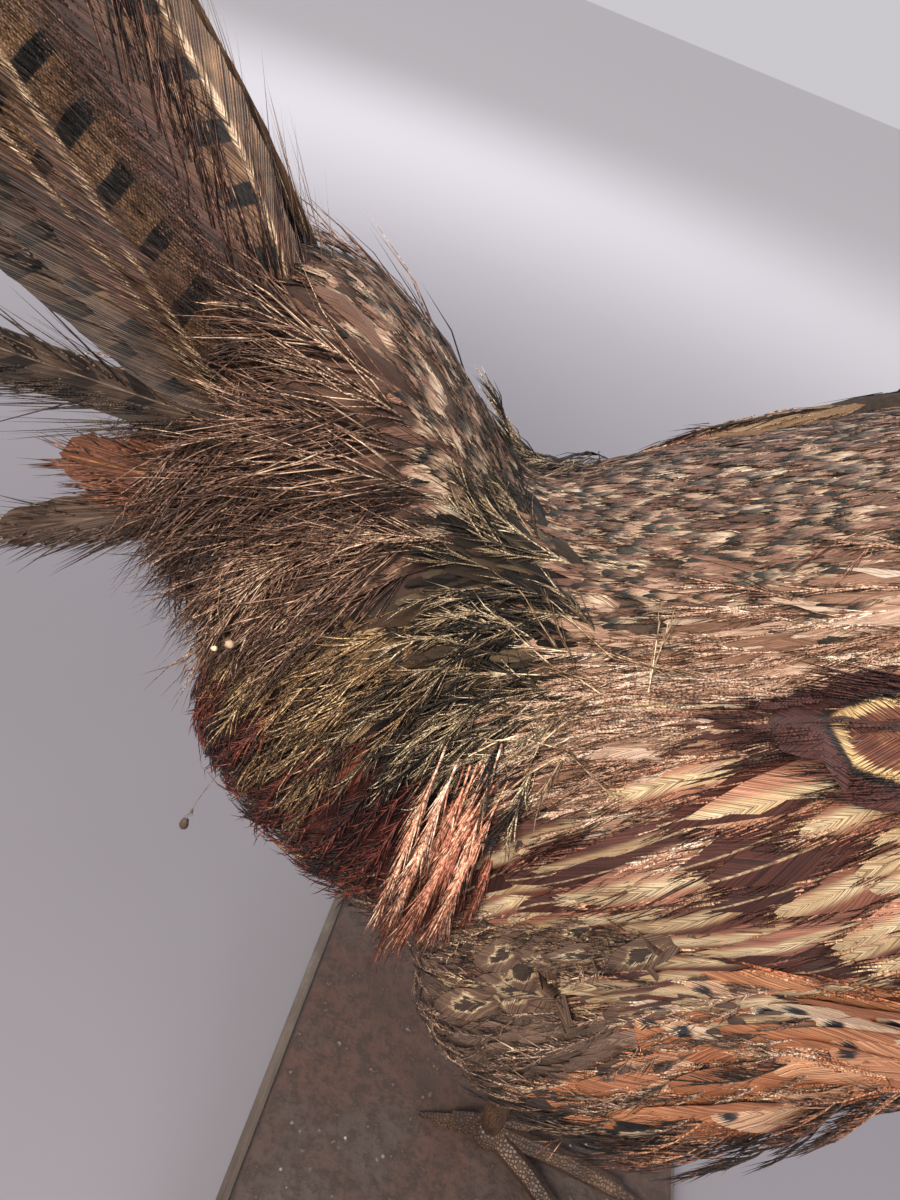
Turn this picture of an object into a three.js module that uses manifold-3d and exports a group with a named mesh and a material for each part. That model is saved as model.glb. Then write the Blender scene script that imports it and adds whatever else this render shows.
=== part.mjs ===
// A mounted cock pheasant, life size, standing on a small board with its tail cocked.
// Millimetres, +Z up. The bird faces +X, and its left side is +Y.
// The origin is the centre of the board's underside.
import * as THREE from "three";
import { mergeVertices } from "three/addons/utils/BufferGeometryUtils.js";
import Module from "manifold-3d";

const wasm = await Module();
wasm.setup();

// ---------------------------------------------------------------- driving dimensions
const GAP = 0.3; // between neighbouring solids
const CLEAR = 0.4; // around a curved solid, where flat facets stand in for the curve
const TRIM = 0.03; // detail finer than this is left off
const BOARD = { width: 138, depth: 180, thick: 18, corner: 7, bevel: 2 };
const GROUND = { thick: 6, inset: 3, swell: 1.6, wave: 31 };
const GROUND_TOP = BOARD.thick + GAP + GROUND.thick;

// The body's sections from the vent to the base of the neck, across the spine:
// x and z of the spine, half the width, and the reach above and below the spine.
const BODY = [
  { x: -125, z: 161, half: 9, up: 12, down: 12 },
  { x: -113, z: 162, half: 34, up: 40, down: 32 },
  { x: -86, z: 162, half: 50, up: 59, down: 44 },
  { x: -44, z: 163, half: 61, up: 71, down: 62 },
  { x: 2, z: 179, half: 69, up: 78, down: 76 },
  { x: 48, z: 209, half: 72, up: 79, down: 82 },
  { x: 89, z: 245, half: 64, up: 63, down: 72 },
  { x: 111, z: 281, half: 47, up: 44, down: 50 },
  { x: 121, z: 312, half: 35, up: 34, down: 36 },
  { x: 126, z: 341, half: 27.5, up: 27, down: 28 },
  { x: 130, z: 368, half: 22.5, up: 22, down: 23 },
  { x: 135, z: 391, half: 18.5, up: 18.5, down: 19 },
  { x: 140, z: 409, half: 15, up: 15.5, down: 15 },
];
// Where the body is parted, as shares of the way from the vent to the head.
const PARTS = [
  { name: "rump", to: 0.225, look: "vent" },
  { name: "trunk", to: 0.45, look: "back" },
  { name: "breast", to: 0.625, look: "breast" },
  { name: "neck_lower", to: 0.75, look: "green" },
  { name: "neck_collar", to: 0.805, look: "white" },
  { name: "neck_upper", to: 1, look: "green" },
];

const HEAD = { x: 147, z: 412, long: 29, half: 16.5, high: 19, tilt: 8 };
const BILL = { root: 169, tip: 201, z: 412, drop: 9, half: 8.5, upper: 8.5, lower: 6 };
const EYE = { x: 158, y: 13.2, z: 417, radius: 5.4 };
const WATTLE = { x: 157, y: 12.4, z: 413.5, long: 17, high: 13.5, proud: 5.6 };
const EAR = { root: [130, 10, 424], tip: [112, 17, 437], radius: 3.6 };

// The coverts that sheathe the tail's root above it, and the fluff under it: where each
// starts, how steeply it rises in degrees, its length, half its width and half its depth.
const COVERTS = { root: [-72, 0, 199], rise: 43, long: 80, half: 29, deep: 24 };
const UNDERTAIL = { root: [-92, 0, 181], rise: 33, long: 66, half: 31, deep: 19 };
// The root of the tail, the way it points, and how steep its roof is in degrees.
const TAIL = { root: [-84, 0, 210], rise: 43, roof: 58 };
// Each tail feather on one side, from the middle outwards: its length, half its width,
// how far it fans away from the middle in degrees, and how far down the roof it starts.
const TAIL_FEATHERS = [
  { long: 455, half: 18.5, fan: 0.6, drop: 12 },
  { long: 400, half: 16, fan: 6.5, drop: 12 },
  { long: 330, half: 14, fan: 12.5, drop: 12 },
  { long: 272, half: 12, fan: 19, drop: 12 },
  { long: 226, half: 4.5, fan: 40, drop: 11 },
  { long: 46, half: 8, fan: 44, drop: 26 },
  { long: 66, half: 7, fan: 66, drop: 17 },
];
const TAIL_START = 14; // from the tail's root to where the feathers start
const TAIL_LAYER = 1.7; // from one feather to the next under it
const VANE_THICK = 1.0;

const WING = [
  { at: [117, 43, 277], high: 10, deep: 8 },
  { at: [102, 56, 267], high: 27, deep: 14 },
  { at: [63, 65, 247], high: 37, deep: 15 },
  { at: [19, 65, 220], high: 38, deep: 15 },
  { at: [-21, 58, 199], high: 30, deep: 14 },
  { at: [-54, 50, 180], high: 18, deep: 10 },
  { at: [-76, 44, 168], high: 5, deep: 5 },
];
const WING_SPLIT = 0.52; // coverts in front, flight feathers behind

const THIGH = [
  { at: [50, 40, 178], wide: 17, deep: 14 },
  { at: [24, 42, 156], wide: 38, deep: 25 },
  { at: [-9, 42, 125], wide: 43, deep: 26 },
  { at: [-14, 35, 101], wide: 29, deep: 21 },
  { at: [-8, 30, 84], wide: 9.5, deep: 9 },
];
const SHANK = { top: [-8, 30, 82], foot: [1, 27, 0], above: 5, thick: 4.3, thin: 3.4 };
const SPUR = { share: 0.42, long: 12, radius: 3 };
const TOE_RADIUS = 3.6;
const CLAW = 10;
// Toes: heading in degrees from straight ahead, positive outwards, and the length.
const TOES = [
  { heading: -30, long: 32 },
  { heading: 2, long: 44 },
  { heading: 33, long: 34 },
  { heading: 176, long: 12 },
];

// ---------------------------------------------------------------- looks
const finish = (color, roughness, metalness = 0) =>
  new THREE.MeshStandardMaterial({ color, roughness, metalness });
const LOOKS = {
  wood: finish(0x3b2a22, 0.85),
  earth: finish(0x4d3a32, 0.95),
  vent: finish(0x5a3a2c, 0.9),
  back: finish(0x6f5b45, 0.9),
  breast: finish(0x8a4323, 0.75),
  green: finish(0x17342c, 0.45),
  white: finish(0xe3ddd0, 0.85),
  wing: finish(0x8d6d4d, 0.85),
  flight: finish(0x7b664f, 0.85),
  down: finish(0x4a3b31, 0.95),
  tail: finish(0x8a7152, 0.85),
  skin: finish(0x8f2018, 0.7),
  horn: finish(0xb3a588, 0.5),
  leg: finish(0x6d655a, 0.6),
  eye: finish(0x1a0d06, 0.1),
};

// ---------------------------------------------------------------- making solids
// A closed three.js geometry, with its vertices merged, as a manifold solid facing out.
function solid(geometry) {
  const bare = geometry.clone();
  bare.deleteAttribute("normal");
  bare.deleteAttribute("uv");
  const merged = mergeVertices(bare, 1e-4);
  const vertProperties = new Float32Array(merged.attributes.position.array);
  const triVerts = new Uint32Array(merged.index.array);
  const made = new wasm.Manifold(new wasm.Mesh({ numProp: 3, vertProperties, triVerts }));
  if (made.volume() > 0) return made;
  for (let i = 0; i < triVerts.length; i += 3)
    [triVerts[i + 1], triVerts[i + 2]] = [triVerts[i + 2], triVerts[i + 1]];
  return new wasm.Manifold(new wasm.Mesh({ numProp: 3, vertProperties, triVerts }));
}

function geometryOf(made) {
  const mesh = made.getMesh();
  return new THREE.BufferGeometry()
    .setAttribute("position", new THREE.BufferAttribute(new Float32Array(mesh.vertProperties), 3))
    .setIndex(new THREE.BufferAttribute(new Uint32Array(mesh.triVerts), 1))
    .toNonIndexed();
}

const bird = new THREE.Group();
function addSolid(name, made, look) {
  const mesh = new THREE.Mesh(geometryOf(made.simplify(TRIM)), LOOKS[look]);
  mesh.geometry.computeVertexNormals();
  mesh.name = name;
  bird.add(mesh);
}

// A closed tube: a capped cylinder whose rings are set on sectionAt(t) for t from 0 to 1.
// A section has a centre, an across and an up vector, and the reach along each of them.
// square above 2 fills out the corners; camber bends the section's sides down.
function tube(sectionAt, { rings = 12, sides = 20, grow = 0, square = 2, camber = 0 } = {}) {
  const geometry = new THREE.CylinderGeometry(1, 1, 1, sides, rings);
  const place = geometry.attributes.position;
  const point = new THREE.Vector3();
  for (let i = 0; i < place.count; i++) {
    point.fromBufferAttribute(place, i);
    const section = sectionAt(0.5 - point.y);
    const radius = Math.hypot(point.x, point.z);
    const angle = Math.atan2(point.z, point.x);
    const c = Math.sign(Math.cos(angle)) * Math.abs(Math.cos(angle)) ** (2 / square);
    const s = Math.sign(Math.sin(angle)) * Math.abs(Math.sin(angle)) ** (2 / square);
    const out = radius * c * (section.half + grow);
    const up = radius * s * ((s > 0 ? section.up : section.down) + grow);
    const bend = camber * (radius * c) ** 2;
    point.copy(section.centre);
    point.addScaledVector(section.across, out).addScaledVector(section.above, up - bend);
    place.setXYZ(i, point.x, point.y, point.z);
  }
  return solid(geometry);
}

// Sections read off two smooth curves through the same number of named stations:
// one through the centres, one through the sizes.
function sectionsThrough(stations, across) {
  const centres = new THREE.CatmullRomCurve3(stations.map((s) => s.centre));
  const sizes = new THREE.CatmullRomCurve3(stations.map((s) => s.size));
  return (t) => {
    const along = centres.getTangent(THREE.MathUtils.clamp(t, 0.0005, 0.9995));
    const above = new THREE.Vector3().crossVectors(along, across).normalize();
    const size = sizes.getPoint(t);
    return {
      centre: centres.getPoint(t),
      along,
      across: new THREE.Vector3().crossVectors(above, along).normalize(),
      above,
      half: size.x,
      up: size.y,
      down: size.z,
    };
  };
}
const vector = (xyz) => new THREE.Vector3(...xyz);
const right = (xyz) => new THREE.Vector3(xyz[0], -xyz[1], xyz[2]);
const mirrored = (made) => made.mirror([0, 1, 0]);

// ---------------------------------------------------------------- board and groundwork
function boardSolid() {
  const w = BOARD.width / 2 - BOARD.bevel;
  const d = BOARD.depth / 2 - BOARD.bevel;
  const r = BOARD.corner;
  const outline = new THREE.Shape();
  outline.moveTo(-w + r, -d).lineTo(w - r, -d).absarc(w - r, -d + r, r, -Math.PI / 2, 0);
  outline.lineTo(w, d - r).absarc(w - r, d - r, r, 0, Math.PI / 2);
  outline.lineTo(-w + r, d).absarc(-w + r, d - r, r, Math.PI / 2, Math.PI);
  outline.lineTo(-w, -d + r).absarc(-w + r, -d + r, r, Math.PI, 1.5 * Math.PI);
  const geometry = new THREE.ExtrudeGeometry(outline, {
    depth: BOARD.thick - 2 * BOARD.bevel,
    bevelThickness: BOARD.bevel,
    bevelSize: BOARD.bevel,
    bevelSegments: 1,
    curveSegments: 4,
  });
  geometry.translate(0, 0, BOARD.bevel);
  return solid(geometry);
}

// Dried earth on the board: level where the feet stand, swelling and dipping towards
// the edges, where it thins out.
function groundSolid() {
  const wide = BOARD.width - 2 * GROUND.inset;
  const deep = BOARD.depth - 2 * GROUND.inset;
  const geometry = new THREE.BoxGeometry(wide, deep, GROUND.thick, 9, 10, 1);
  const place = geometry.attributes.position;
  for (let i = 0; i < place.count; i++) {
    if (place.getZ(i) < 0) continue;
    const x = place.getX(i);
    const y = place.getY(i);
    const edge = Math.max(Math.abs(x) / (wide / 2), Math.abs(y) / (deep / 2));
    const out = THREE.MathUtils.smoothstep(edge, 0.62, 1);
    const swell = Math.sin(x / GROUND.wave + 1.3) * Math.cos(y / (1.4 * GROUND.wave));
    place.setZ(i, GROUND.thick / 2 - out * (1.9 + GROUND.swell * swell));
  }
  geometry.translate(0, 0, BOARD.thick + GAP + GROUND.thick / 2);
  return solid(geometry);
}

// ---------------------------------------------------------------- body, neck and head
const Y = new THREE.Vector3(0, 1, 0);
const bodySection = sectionsThrough(
  BODY.map((s) => ({
    centre: new THREE.Vector3(s.x, 0, s.z),
    size: new THREE.Vector3(s.half, s.up, s.down),
  })),
  Y,
);
const symmetric = (made) => {
  const half = made.trimByPlane([0, -1, 0], 0);
  return half.add(mirrored(half));
};
const bodyWhole = (grow) => symmetric(tube(bodySection, { rings: 30, sides: 20, grow }));

function headSection(t) {
  const s = Math.sqrt(Math.max(0.0009, 1 - (2 * t - 1) ** 2));
  const face = THREE.MathUtils.smoothstep(t, 0.55, 1);
  const tilt = THREE.MathUtils.degToRad(HEAD.tilt);
  const along = new THREE.Vector3(Math.cos(tilt), 0, -Math.sin(tilt));
  const above = new THREE.Vector3(Math.sin(tilt), 0, Math.cos(tilt));
  return {
    centre: new THREE.Vector3(HEAD.x, 0, HEAD.z).addScaledVector(along, HEAD.long * (2 * t - 1)),
    across: Y,
    above,
    half: HEAD.half * s * (1 - 0.16 * face),
    up: HEAD.high * 0.93 * s,
    down: HEAD.high * s * (1 - 0.1 * face),
  };
}
const headWhole = (grow) => tube(headSection, { rings: 8, sides: 16, grow, square: 2.2 });

// Both halves of the bill taper along a downward curve to a point.
function billHalf(isUpper, grow = 0) {
  const section = (t) => {
    const long = BILL.tip - BILL.root + 8;
    const taper = Math.sqrt(Math.max(0.004, 1 - t ** 2.2));
    const reach = isUpper ? long : 0.86 * long;
    const gape = BILL.z - (isUpper ? 1 : 2.3);
    return {
      centre: new THREE.Vector3(BILL.root - 8 + reach * t, 0, gape - BILL.drop * t * t),
      across: Y,
      above: new THREE.Vector3(0, 0, 1),
      half: (BILL.half + 2.5 * (1 - t)) * taper * (isUpper ? 1 : 0.88),
      up: isUpper ? BILL.upper * taper : 0.5,
      down: isUpper ? 0.5 : BILL.lower * taper,
    };
  };
  return tube(section, { rings: 6, sides: 12, grow });
}

function eyeSolid(grow = 0) {
  const ball = new THREE.SphereGeometry(EYE.radius + grow, 10, 7);
  ball.translate(EYE.x, -EYE.y, EYE.z);
  return solid(ball);
}

function wattleSolid() {
  const patch = new THREE.SphereGeometry(1, 12, 6);
  patch.scale(WATTLE.long, WATTLE.proud, WATTLE.high);
  patch.translate(WATTLE.x, -WATTLE.y, WATTLE.z);
  return solid(patch);
}

function earSolid() {
  const root = right(EAR.root);
  const tip = right(EAR.tip);
  return rod(root, tip, EAR.radius, 0.5, { sides: 8 });
}

// ---------------------------------------------------------------- wings, legs and feet
const limbSection = (stations) =>
  sectionsThrough(
    stations.map((s) => ({
      centre: right(s.at),
      size: new THREE.Vector3(s.deep, s.high ?? s.wide, s.high ?? s.wide),
    })),
    Y,
  );

// A round horny piece from a to b, thinning evenly.
function rod(a, b, thick, thin, options = {}) {
  const along = b.clone().sub(a).normalize();
  const side = Math.abs(along.y) < 0.9 ? Y : new THREE.Vector3(1, 0, 0);
  const above = new THREE.Vector3().crossVectors(along, side).normalize();
  const across = new THREE.Vector3().crossVectors(above, along);
  const bend = options.bend ?? 0;
  const section = (t) => {
    const r = thick + (thin - thick) * t;
    const centre = a.clone().lerp(b, t);
    centre.z += bend * Math.sin(Math.PI * t);
    return { centre, across, above, half: r, up: r, down: r };
  };
  return tube(section, { rings: options.rings ?? 4, sides: options.sides ?? 10 });
}

function shankSolid() {
  const ankle = right(SHANK.top);
  const heel = right([SHANK.foot[0], SHANK.foot[1], GROUND_TOP + SHANK.above]);
  const spurRoot = heel.clone().lerp(ankle, SPUR.share);
  const spurTip = spurRoot.clone().add(new THREE.Vector3(-SPUR.long, 3, 1));
  const spur = rod(spurRoot, spurTip, SPUR.radius, 0.5, { rings: 2, sides: 8 });
  return rod(ankle, heel, SHANK.thick, SHANK.thin, { rings: 4 }).add(spur);
}

function footSolid() {
  const ground = GROUND_TOP + GAP;
  const palm = right([SHANK.foot[0], SHANK.foot[1], ground + TOE_RADIUS + 1.4]);
  let foot = solid(new THREE.SphereGeometry(6.2, 8, 5).scale(1, 1, 0.8).translate(...palm));
  for (const toe of TOES) {
    const heading = THREE.MathUtils.degToRad(toe.heading);
    const way = new THREE.Vector3(Math.cos(heading), -Math.sin(heading), 0);
    const knuckle = palm.clone().addScaledVector(way, toe.long);
    knuckle.z = ground + TOE_RADIUS * 0.82;
    const tip = knuckle.clone().addScaledVector(way, CLAW);
    tip.z = ground + 0.7;
    const shaft = { bend: 1.6, rings: 2, sides: 5 };
    foot = foot.add(rod(palm, knuckle, TOE_RADIUS, TOE_RADIUS * 0.8, shaft));
    const root = knuckle.clone().addScaledVector(way, -2);
    foot = foot.add(rod(root, tip, TOE_RADIUS * 0.72, 0.6, { bend: 1.4, rings: 1, sides: 5 }));
  }
  return foot;
}

// ---------------------------------------------------------------- tail
const wayUp = (degrees) => {
  const rise = THREE.MathUtils.degToRad(degrees);
  return {
    along: new THREE.Vector3(-Math.cos(rise), 0, Math.sin(rise)),
    above: new THREE.Vector3(Math.sin(rise), 0, Math.cos(rise)),
  };
};

// A sheath of short feathers that narrows to a round end.
function sheath(form, grow = 0) {
  const { along, above } = wayUp(form.rise);
  const section = (t) => {
    const end = Math.sqrt(Math.max(0.02, 1 - Math.max(0, (t - 0.2) / 0.8) ** 2.4));
    return {
      centre: vector(form.root).addScaledVector(along, form.long * t),
      across: Y,
      above,
      half: form.half * end,
      up: form.deep * end,
      down: form.deep * end,
    };
  };
  return tube(section, { rings: 6, sides: 16, grow });
}

// One tail feather on its half of the roof: it fans down the roof's slope, and each lies
// a layer inside the one before it.
function tailFeather(feather, index) {
  const { along, above } = wayUp(TAIL.rise);
  const roof = THREE.MathUtils.degToRad(TAIL.roof);
  const fan = THREE.MathUtils.degToRad(feather.fan);
  const slope = new THREE.Vector3(0, -Math.cos(roof), 0).addScaledVector(above, -Math.sin(roof));
  const outward = new THREE.Vector3(0, -Math.sin(roof), 0).addScaledVector(above, Math.cos(roof));
  const way = along.clone().multiplyScalar(Math.cos(fan)).addScaledVector(slope, Math.sin(fan));
  const across = new THREE.Vector3().crossVectors(outward, way).normalize();
  const start = vector(TAIL.root).addScaledVector(along, TAIL_START);
  start.addScaledVector(slope, feather.drop).addScaledVector(outward, 7 - TAIL_LAYER * index);
  const section = (t) => {
    const root = THREE.MathUtils.smoothstep(t, 0, 0.16);
    const point = Math.max(0, (t - 0.3) / 0.7) ** 1.25;
    const slim = feather.long > 200 ? 0.78 : 0.5;
    const round = Math.sqrt(Math.max(0.03, 1 - Math.max(0, (t - 0.94) / 0.06) ** 2));
    return {
      centre: start.clone().addScaledVector(way, feather.long * t),
      across,
      above: outward,
      half: feather.half * (0.16 + 0.84 * root) * (1 - slim * point) * round,
      up: VANE_THICK / 2,
      down: VANE_THICK / 2,
    };
  };
  return tube(section, { rings: 8, sides: 6, square: 3 });
}

// ---------------------------------------------------------------- putting it together
const body = bodyWhole(0);
const bodyGrown = bodyWhole(CLEAR);
const headGrown = headWhole(GAP);
const coverts = sheath(COVERTS).subtract(bodyGrown);
const covertsGrown = sheath(COVERTS, GAP);
const undertailGrown = sheath(UNDERTAIL, GAP);
const bill = billHalf(true, GAP).add(billHalf(false, GAP));

addSolid("base_board", boardSolid(), "wood");
addSolid("base_groundwork", groundSolid(), "earth");

let rest = body.subtract(headGrown);
for (const part of PARTS) {
  const { along, centre } = bodySection(part.to);
  const cut = along.dot(centre);
  const isLast = part.to === 1;
  addSolid(part.name, isLast ? rest : rest.trimByPlane([-along.x, 0, -along.z], -cut), part.look);
  if (!isLast) rest = rest.trimByPlane([along.x, 0, along.z], cut + GAP);
}

addSolid("head", headWhole(0).subtract(eyeSolid(GAP)).subtract(mirrored(eyeSolid(GAP))), "green");
addSolid("bill_upper", billHalf(true).subtract(headGrown), "horn");
addSolid("bill_lower", billHalf(false).subtract(headGrown), "horn");
addSolid("tail_coverts", coverts, "back");
addSolid("undertail", sheath(UNDERTAIL).subtract(bodyGrown).subtract(covertsGrown), "vent");

// The bird's right side; its left is the mirror image.
function addPair(name, made, look) {
  addSolid(name + "_R", made, look);
  addSolid(name + "_L", mirrored(made), look);
}
const wingSection = limbSection(WING);
const wingGrown = tube(wingSection, { rings: 10, sides: 14, grow: CLEAR });
const wing = tube(wingSection, { rings: 10, sides: 14 }).subtract(bodyGrown);
const split = wingSection(WING_SPLIT);
const fold = split.along.dot(split.centre);
const foldWay = [split.along.x, split.along.y, split.along.z];
addPair("wing_coverts", wing.trimByPlane(foldWay.map((v) => -v), -fold), "wing");
addPair("wing_flight", wing.trimByPlane(foldWay, fold + GAP), "flight");

const thigh = tube(limbSection(THIGH), { rings: 7, sides: 14 });
addPair("thigh", thigh.subtract(bodyGrown).subtract(wingGrown), "down");
const foot = footSolid();
addPair("shank", shankSolid().subtract(foot), "leg");
addPair("foot", foot, "leg");

addPair("eye", eyeSolid(), "eye");
addPair("wattle", wattleSolid().subtract(headGrown).subtract(eyeSolid(GAP)).subtract(bill), "skin");
addPair("ear_tuft", earSolid().subtract(headGrown), "green");
TAIL_FEATHERS.forEach((feather, i) => {
  const made = tailFeather(feather, i).subtract(covertsGrown).subtract(undertailGrown);
  addPair(`tail_feather_${i + 1}`, made.subtract(bodyGrown), "tail");
});

export default bird;
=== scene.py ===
import bpy
import numpy as np
from mathutils import Matrix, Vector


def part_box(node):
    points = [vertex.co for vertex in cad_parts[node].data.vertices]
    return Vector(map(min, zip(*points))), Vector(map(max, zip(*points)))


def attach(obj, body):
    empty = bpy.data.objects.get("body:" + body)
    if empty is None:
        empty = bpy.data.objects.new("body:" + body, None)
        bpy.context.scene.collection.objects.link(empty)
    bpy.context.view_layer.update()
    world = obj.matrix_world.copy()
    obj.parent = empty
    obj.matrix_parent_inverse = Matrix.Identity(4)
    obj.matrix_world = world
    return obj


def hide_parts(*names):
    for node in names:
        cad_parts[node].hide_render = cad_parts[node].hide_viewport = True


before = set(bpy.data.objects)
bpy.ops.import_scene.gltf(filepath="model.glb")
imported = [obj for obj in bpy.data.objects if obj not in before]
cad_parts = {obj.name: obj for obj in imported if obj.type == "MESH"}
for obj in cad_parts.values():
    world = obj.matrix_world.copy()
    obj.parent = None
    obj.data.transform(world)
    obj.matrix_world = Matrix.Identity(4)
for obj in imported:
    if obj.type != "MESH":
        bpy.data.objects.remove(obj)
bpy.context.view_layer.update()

rng = np.random.default_rng(12)

# ---------------------------------------------------------------- viewpoint, light and floor
# The viewpoint is close behind the bird's right shoulder, looking down, and turned a
# little on its own axis. Four square lamps and an even sky light it over a pale floor.
def unit(rows):
    """Scales every row to length one: the row over the root of the sum of its squares."""
    rows = np.asarray(rows, float)
    return rows / np.maximum(np.sqrt((rows**2).sum(-1, keepdims=True)), 1e-9)


def shade(code):
    """Turns a six-figure hex colour into linear red, green, blue and alpha: each channel
    over 255, raised to the power 2.2."""
    channels = [int(code[i : i + 2], 16) / 255 for i in (0, 2, 4)]
    return (*[c**2.2 for c in channels], 1.0)


def stand(name, data, axes, place):
    """Adds a camera or a lamp whose own three axes and place are given."""
    thing = bpy.data.objects.new(name, data)
    stance = np.eye(4)
    stance[:3, :3] = np.stack(axes, axis=1)
    stance[:3, 3] = place
    thing.matrix_world = Matrix(stance.tolist())
    bpy.context.scene.collection.objects.link(thing)
    return thing


def lamp(name, place, aim, size, power, colour):
    """A square area lamp at one point whose back axis points away from another."""
    light = bpy.data.lights.new(name, "AREA")
    light.size = size
    light.energy = power
    light.color = shade(colour)[:3]
    back = unit(np.subtract(place, aim))
    side = unit(np.cross([0, 0, 1], back))
    stand(name, light, (side, np.cross(back, side), back), place)


CAMERA_PLACE = (-0.0733, -0.1723, 0.306)
forward = unit([0.006, 0.825, -0.565])
rightward = np.array([0.9265, 0.2086, 0.315])
rightward = unit(rightward - forward * (rightward @ forward))
lens = bpy.data.cameras.new("viewpoint")
lens.lens = 27.0
lens.sensor_width = 36.0
lens.clip_start = 0.01
camera = stand("viewpoint", lens, (rightward, np.cross(rightward, forward), -forward), CAMERA_PLACE)
bpy.context.scene.camera = camera
bpy.context.scene.view_settings.view_transform = "Standard"
lamp("key_lamp", (-0.5, -0.95, 1.0), (0, 0, 0.2), 0.4, 17, "fff6ea")
lamp("front_lamp", (-0.2, -0.42, 0.52), (-0.02, 0, 0.2), 0.12, 1.5, "fff4e8")
lamp("side_lamp", (1.2, -0.7, 1.3), (0, 0, 0.2), 1.2, 14, "f2f4ff")
lamp("back_lamp", (-0.6, 1.5, 1.4), (0, 0, 0.2), 1.4, 14, "f4f2ff")
sky = bpy.data.worlds.new("studio")
sky.use_nodes = True
sky.node_tree.nodes["Background"].inputs["Color"].default_value = shade("e2dfe4")
sky.node_tree.nodes["Background"].inputs["Strength"].default_value = 0.78
bpy.context.scene.world = sky


def wire(tree, kind, inputs, output=0, **settings):
    """Adds one node to a tree, sets its own options, and fills its inputs by name or
    number with a plain value or another node's. Returns the value at one output."""
    node = tree.nodes.new(kind)
    for key, value in settings.items():
        setattr(node, key, value)
    for key, value in inputs.items():
        if isinstance(value, Value):
            tree.links.new(value.plug, node.inputs[key])
        else:
            node.inputs[key].default_value = value
    return Value(tree, node.outputs[output])


class Value:
    """A number, vector or colour at a node's output. Each sum, product, ramp and so on
    adds one node to its tree and gives a new value."""

    def __init__(self, tree, plug):
        self.tree, self.plug = tree, plug

    def maths(self, how, other=0.0):
        return wire(self.tree, "ShaderNodeMath", {0: self, 1: other}, operation=how)

    def __add__(self, other):
        return self.maths("ADD", other)

    def __sub__(self, other):
        return self.maths("SUBTRACT", other)

    def __mul__(self, other):
        return self.maths("MULTIPLY", other)

    def size(self):
        return self.maths("ABSOLUTE")

    def part(self, axis):
        return wire(self.tree, "ShaderNodeSeparateXYZ", {0: self}, axis)

    def noise(self, scale, detail, roughness=0.5):
        look = {"Vector": self, "Scale": scale, "Detail": detail, "Roughness": roughness}
        return wire(self.tree, "ShaderNodeTexNoise", look)

    def step(self, low, high):
        """A smooth step: 0 below low, 1 above high, 3t squared less 2t cubed between."""
        limits = {"Value": self, "From Min": low, "From Max": high}
        return wire(self.tree, "ShaderNodeMapRange", limits, interpolation_type="SMOOTHSTEP")

    def ramp(self, stops):
        """A colour ramp: stops holds places and hex colours in turn, with blanks between."""
        words = stops.split()
        node = self.tree.nodes.new("ShaderNodeValToRGB")
        while len(node.color_ramp.elements) < len(words) // 2:
            node.color_ramp.elements.new(1.0)
        for element, place, colour in zip(node.color_ramp.elements, words[::2], words[1::2]):
            element.position = float(place)
            element.color = shade(colour)
        self.tree.links.new(self.plug, node.inputs[0])
        return Value(self.tree, node.outputs[0])

    def mix(self, factor, other, how="MIX"):
        """This colour mixed by a factor with another one, which may be a hex colour."""
        other = shade(other) if isinstance(other, str) else other
        slots = {0: factor, 6: self, 7: other}
        return wire(self.tree, "ShaderNodeMix", slots, 2, data_type="RGBA", blend_type=how)


def finish_of(name, roughness=0.8, **uniform):
    """A material whose Principled shader has its uniform values set on its own sockets.
    Returns it and the object's own coordinates."""
    material = bpy.data.materials.new(name)
    material.use_nodes = True
    shader = material.node_tree.nodes["Principled BSDF"]
    shader.inputs["Roughness"].default_value = roughness
    for key, value in uniform.items():
        shader.inputs[key.replace("_", " ")].default_value = value
    return material, wire(material.node_tree, "ShaderNodeTexCoord", {}, "Object")


def cover(material, colour, height=None, strength=0.0, distance=0.0, invert=False):
    """Joins a colour, and a bump made from a height, to a material's shader."""
    tree = material.node_tree
    shader = tree.nodes["Principled BSDF"]
    tree.links.new(colour.plug, shader.inputs["Base Color"])
    if height is not None:
        look = {"Strength": strength, "Distance": distance, "Height": height}
        bump = wire(tree, "ShaderNodeBump", look, invert=invert)
        tree.links.new(bump.plug, shader.inputs["Normal"])


def mesh_piece(name, points, faces, material, uvs=None, tones=None):
    """Puts arrays into one smooth mesh at the origin: points as rows, faces as a list of
    index arrays with equal rows, UV maps and tones given for each point."""
    mesh = bpy.data.meshes.new(name)
    corners = np.concatenate([f.ravel() for f in faces]).astype(np.int32)
    totals = np.concatenate([np.full(len(f), f.shape[1]) for f in faces]).astype(np.int32)
    mesh.vertices.add(len(points))
    mesh.vertices.foreach_set("co", np.asarray(points, np.float32).ravel())
    mesh.loops.add(len(corners))
    mesh.loops.foreach_set("vertex_index", corners)
    mesh.polygons.add(len(totals))
    mesh.polygons.foreach_set("loop_start", np.cumsum(totals, dtype=np.int32) - totals)
    mesh.polygons.foreach_set("use_smooth", np.full(len(totals), True))
    for key, uv in (uvs or {}).items():
        layer = mesh.uv_layers.new(name=key)
        layer.uv.foreach_set("vector", np.asarray(uv, np.float32)[corners].ravel())
    for key, value in (tones or {}).items():
        layer = mesh.attributes.new(key, "FLOAT", "POINT")
        layer.data.foreach_set("value", np.asarray(value, np.float32))
    mesh.update(calc_edges=True)
    mesh.validate()
    if material:
        mesh.materials.append(material)
    piece = bpy.data.objects.new(name, mesh)
    bpy.context.scene.collection.objects.link(piece)
    return piece


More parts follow.
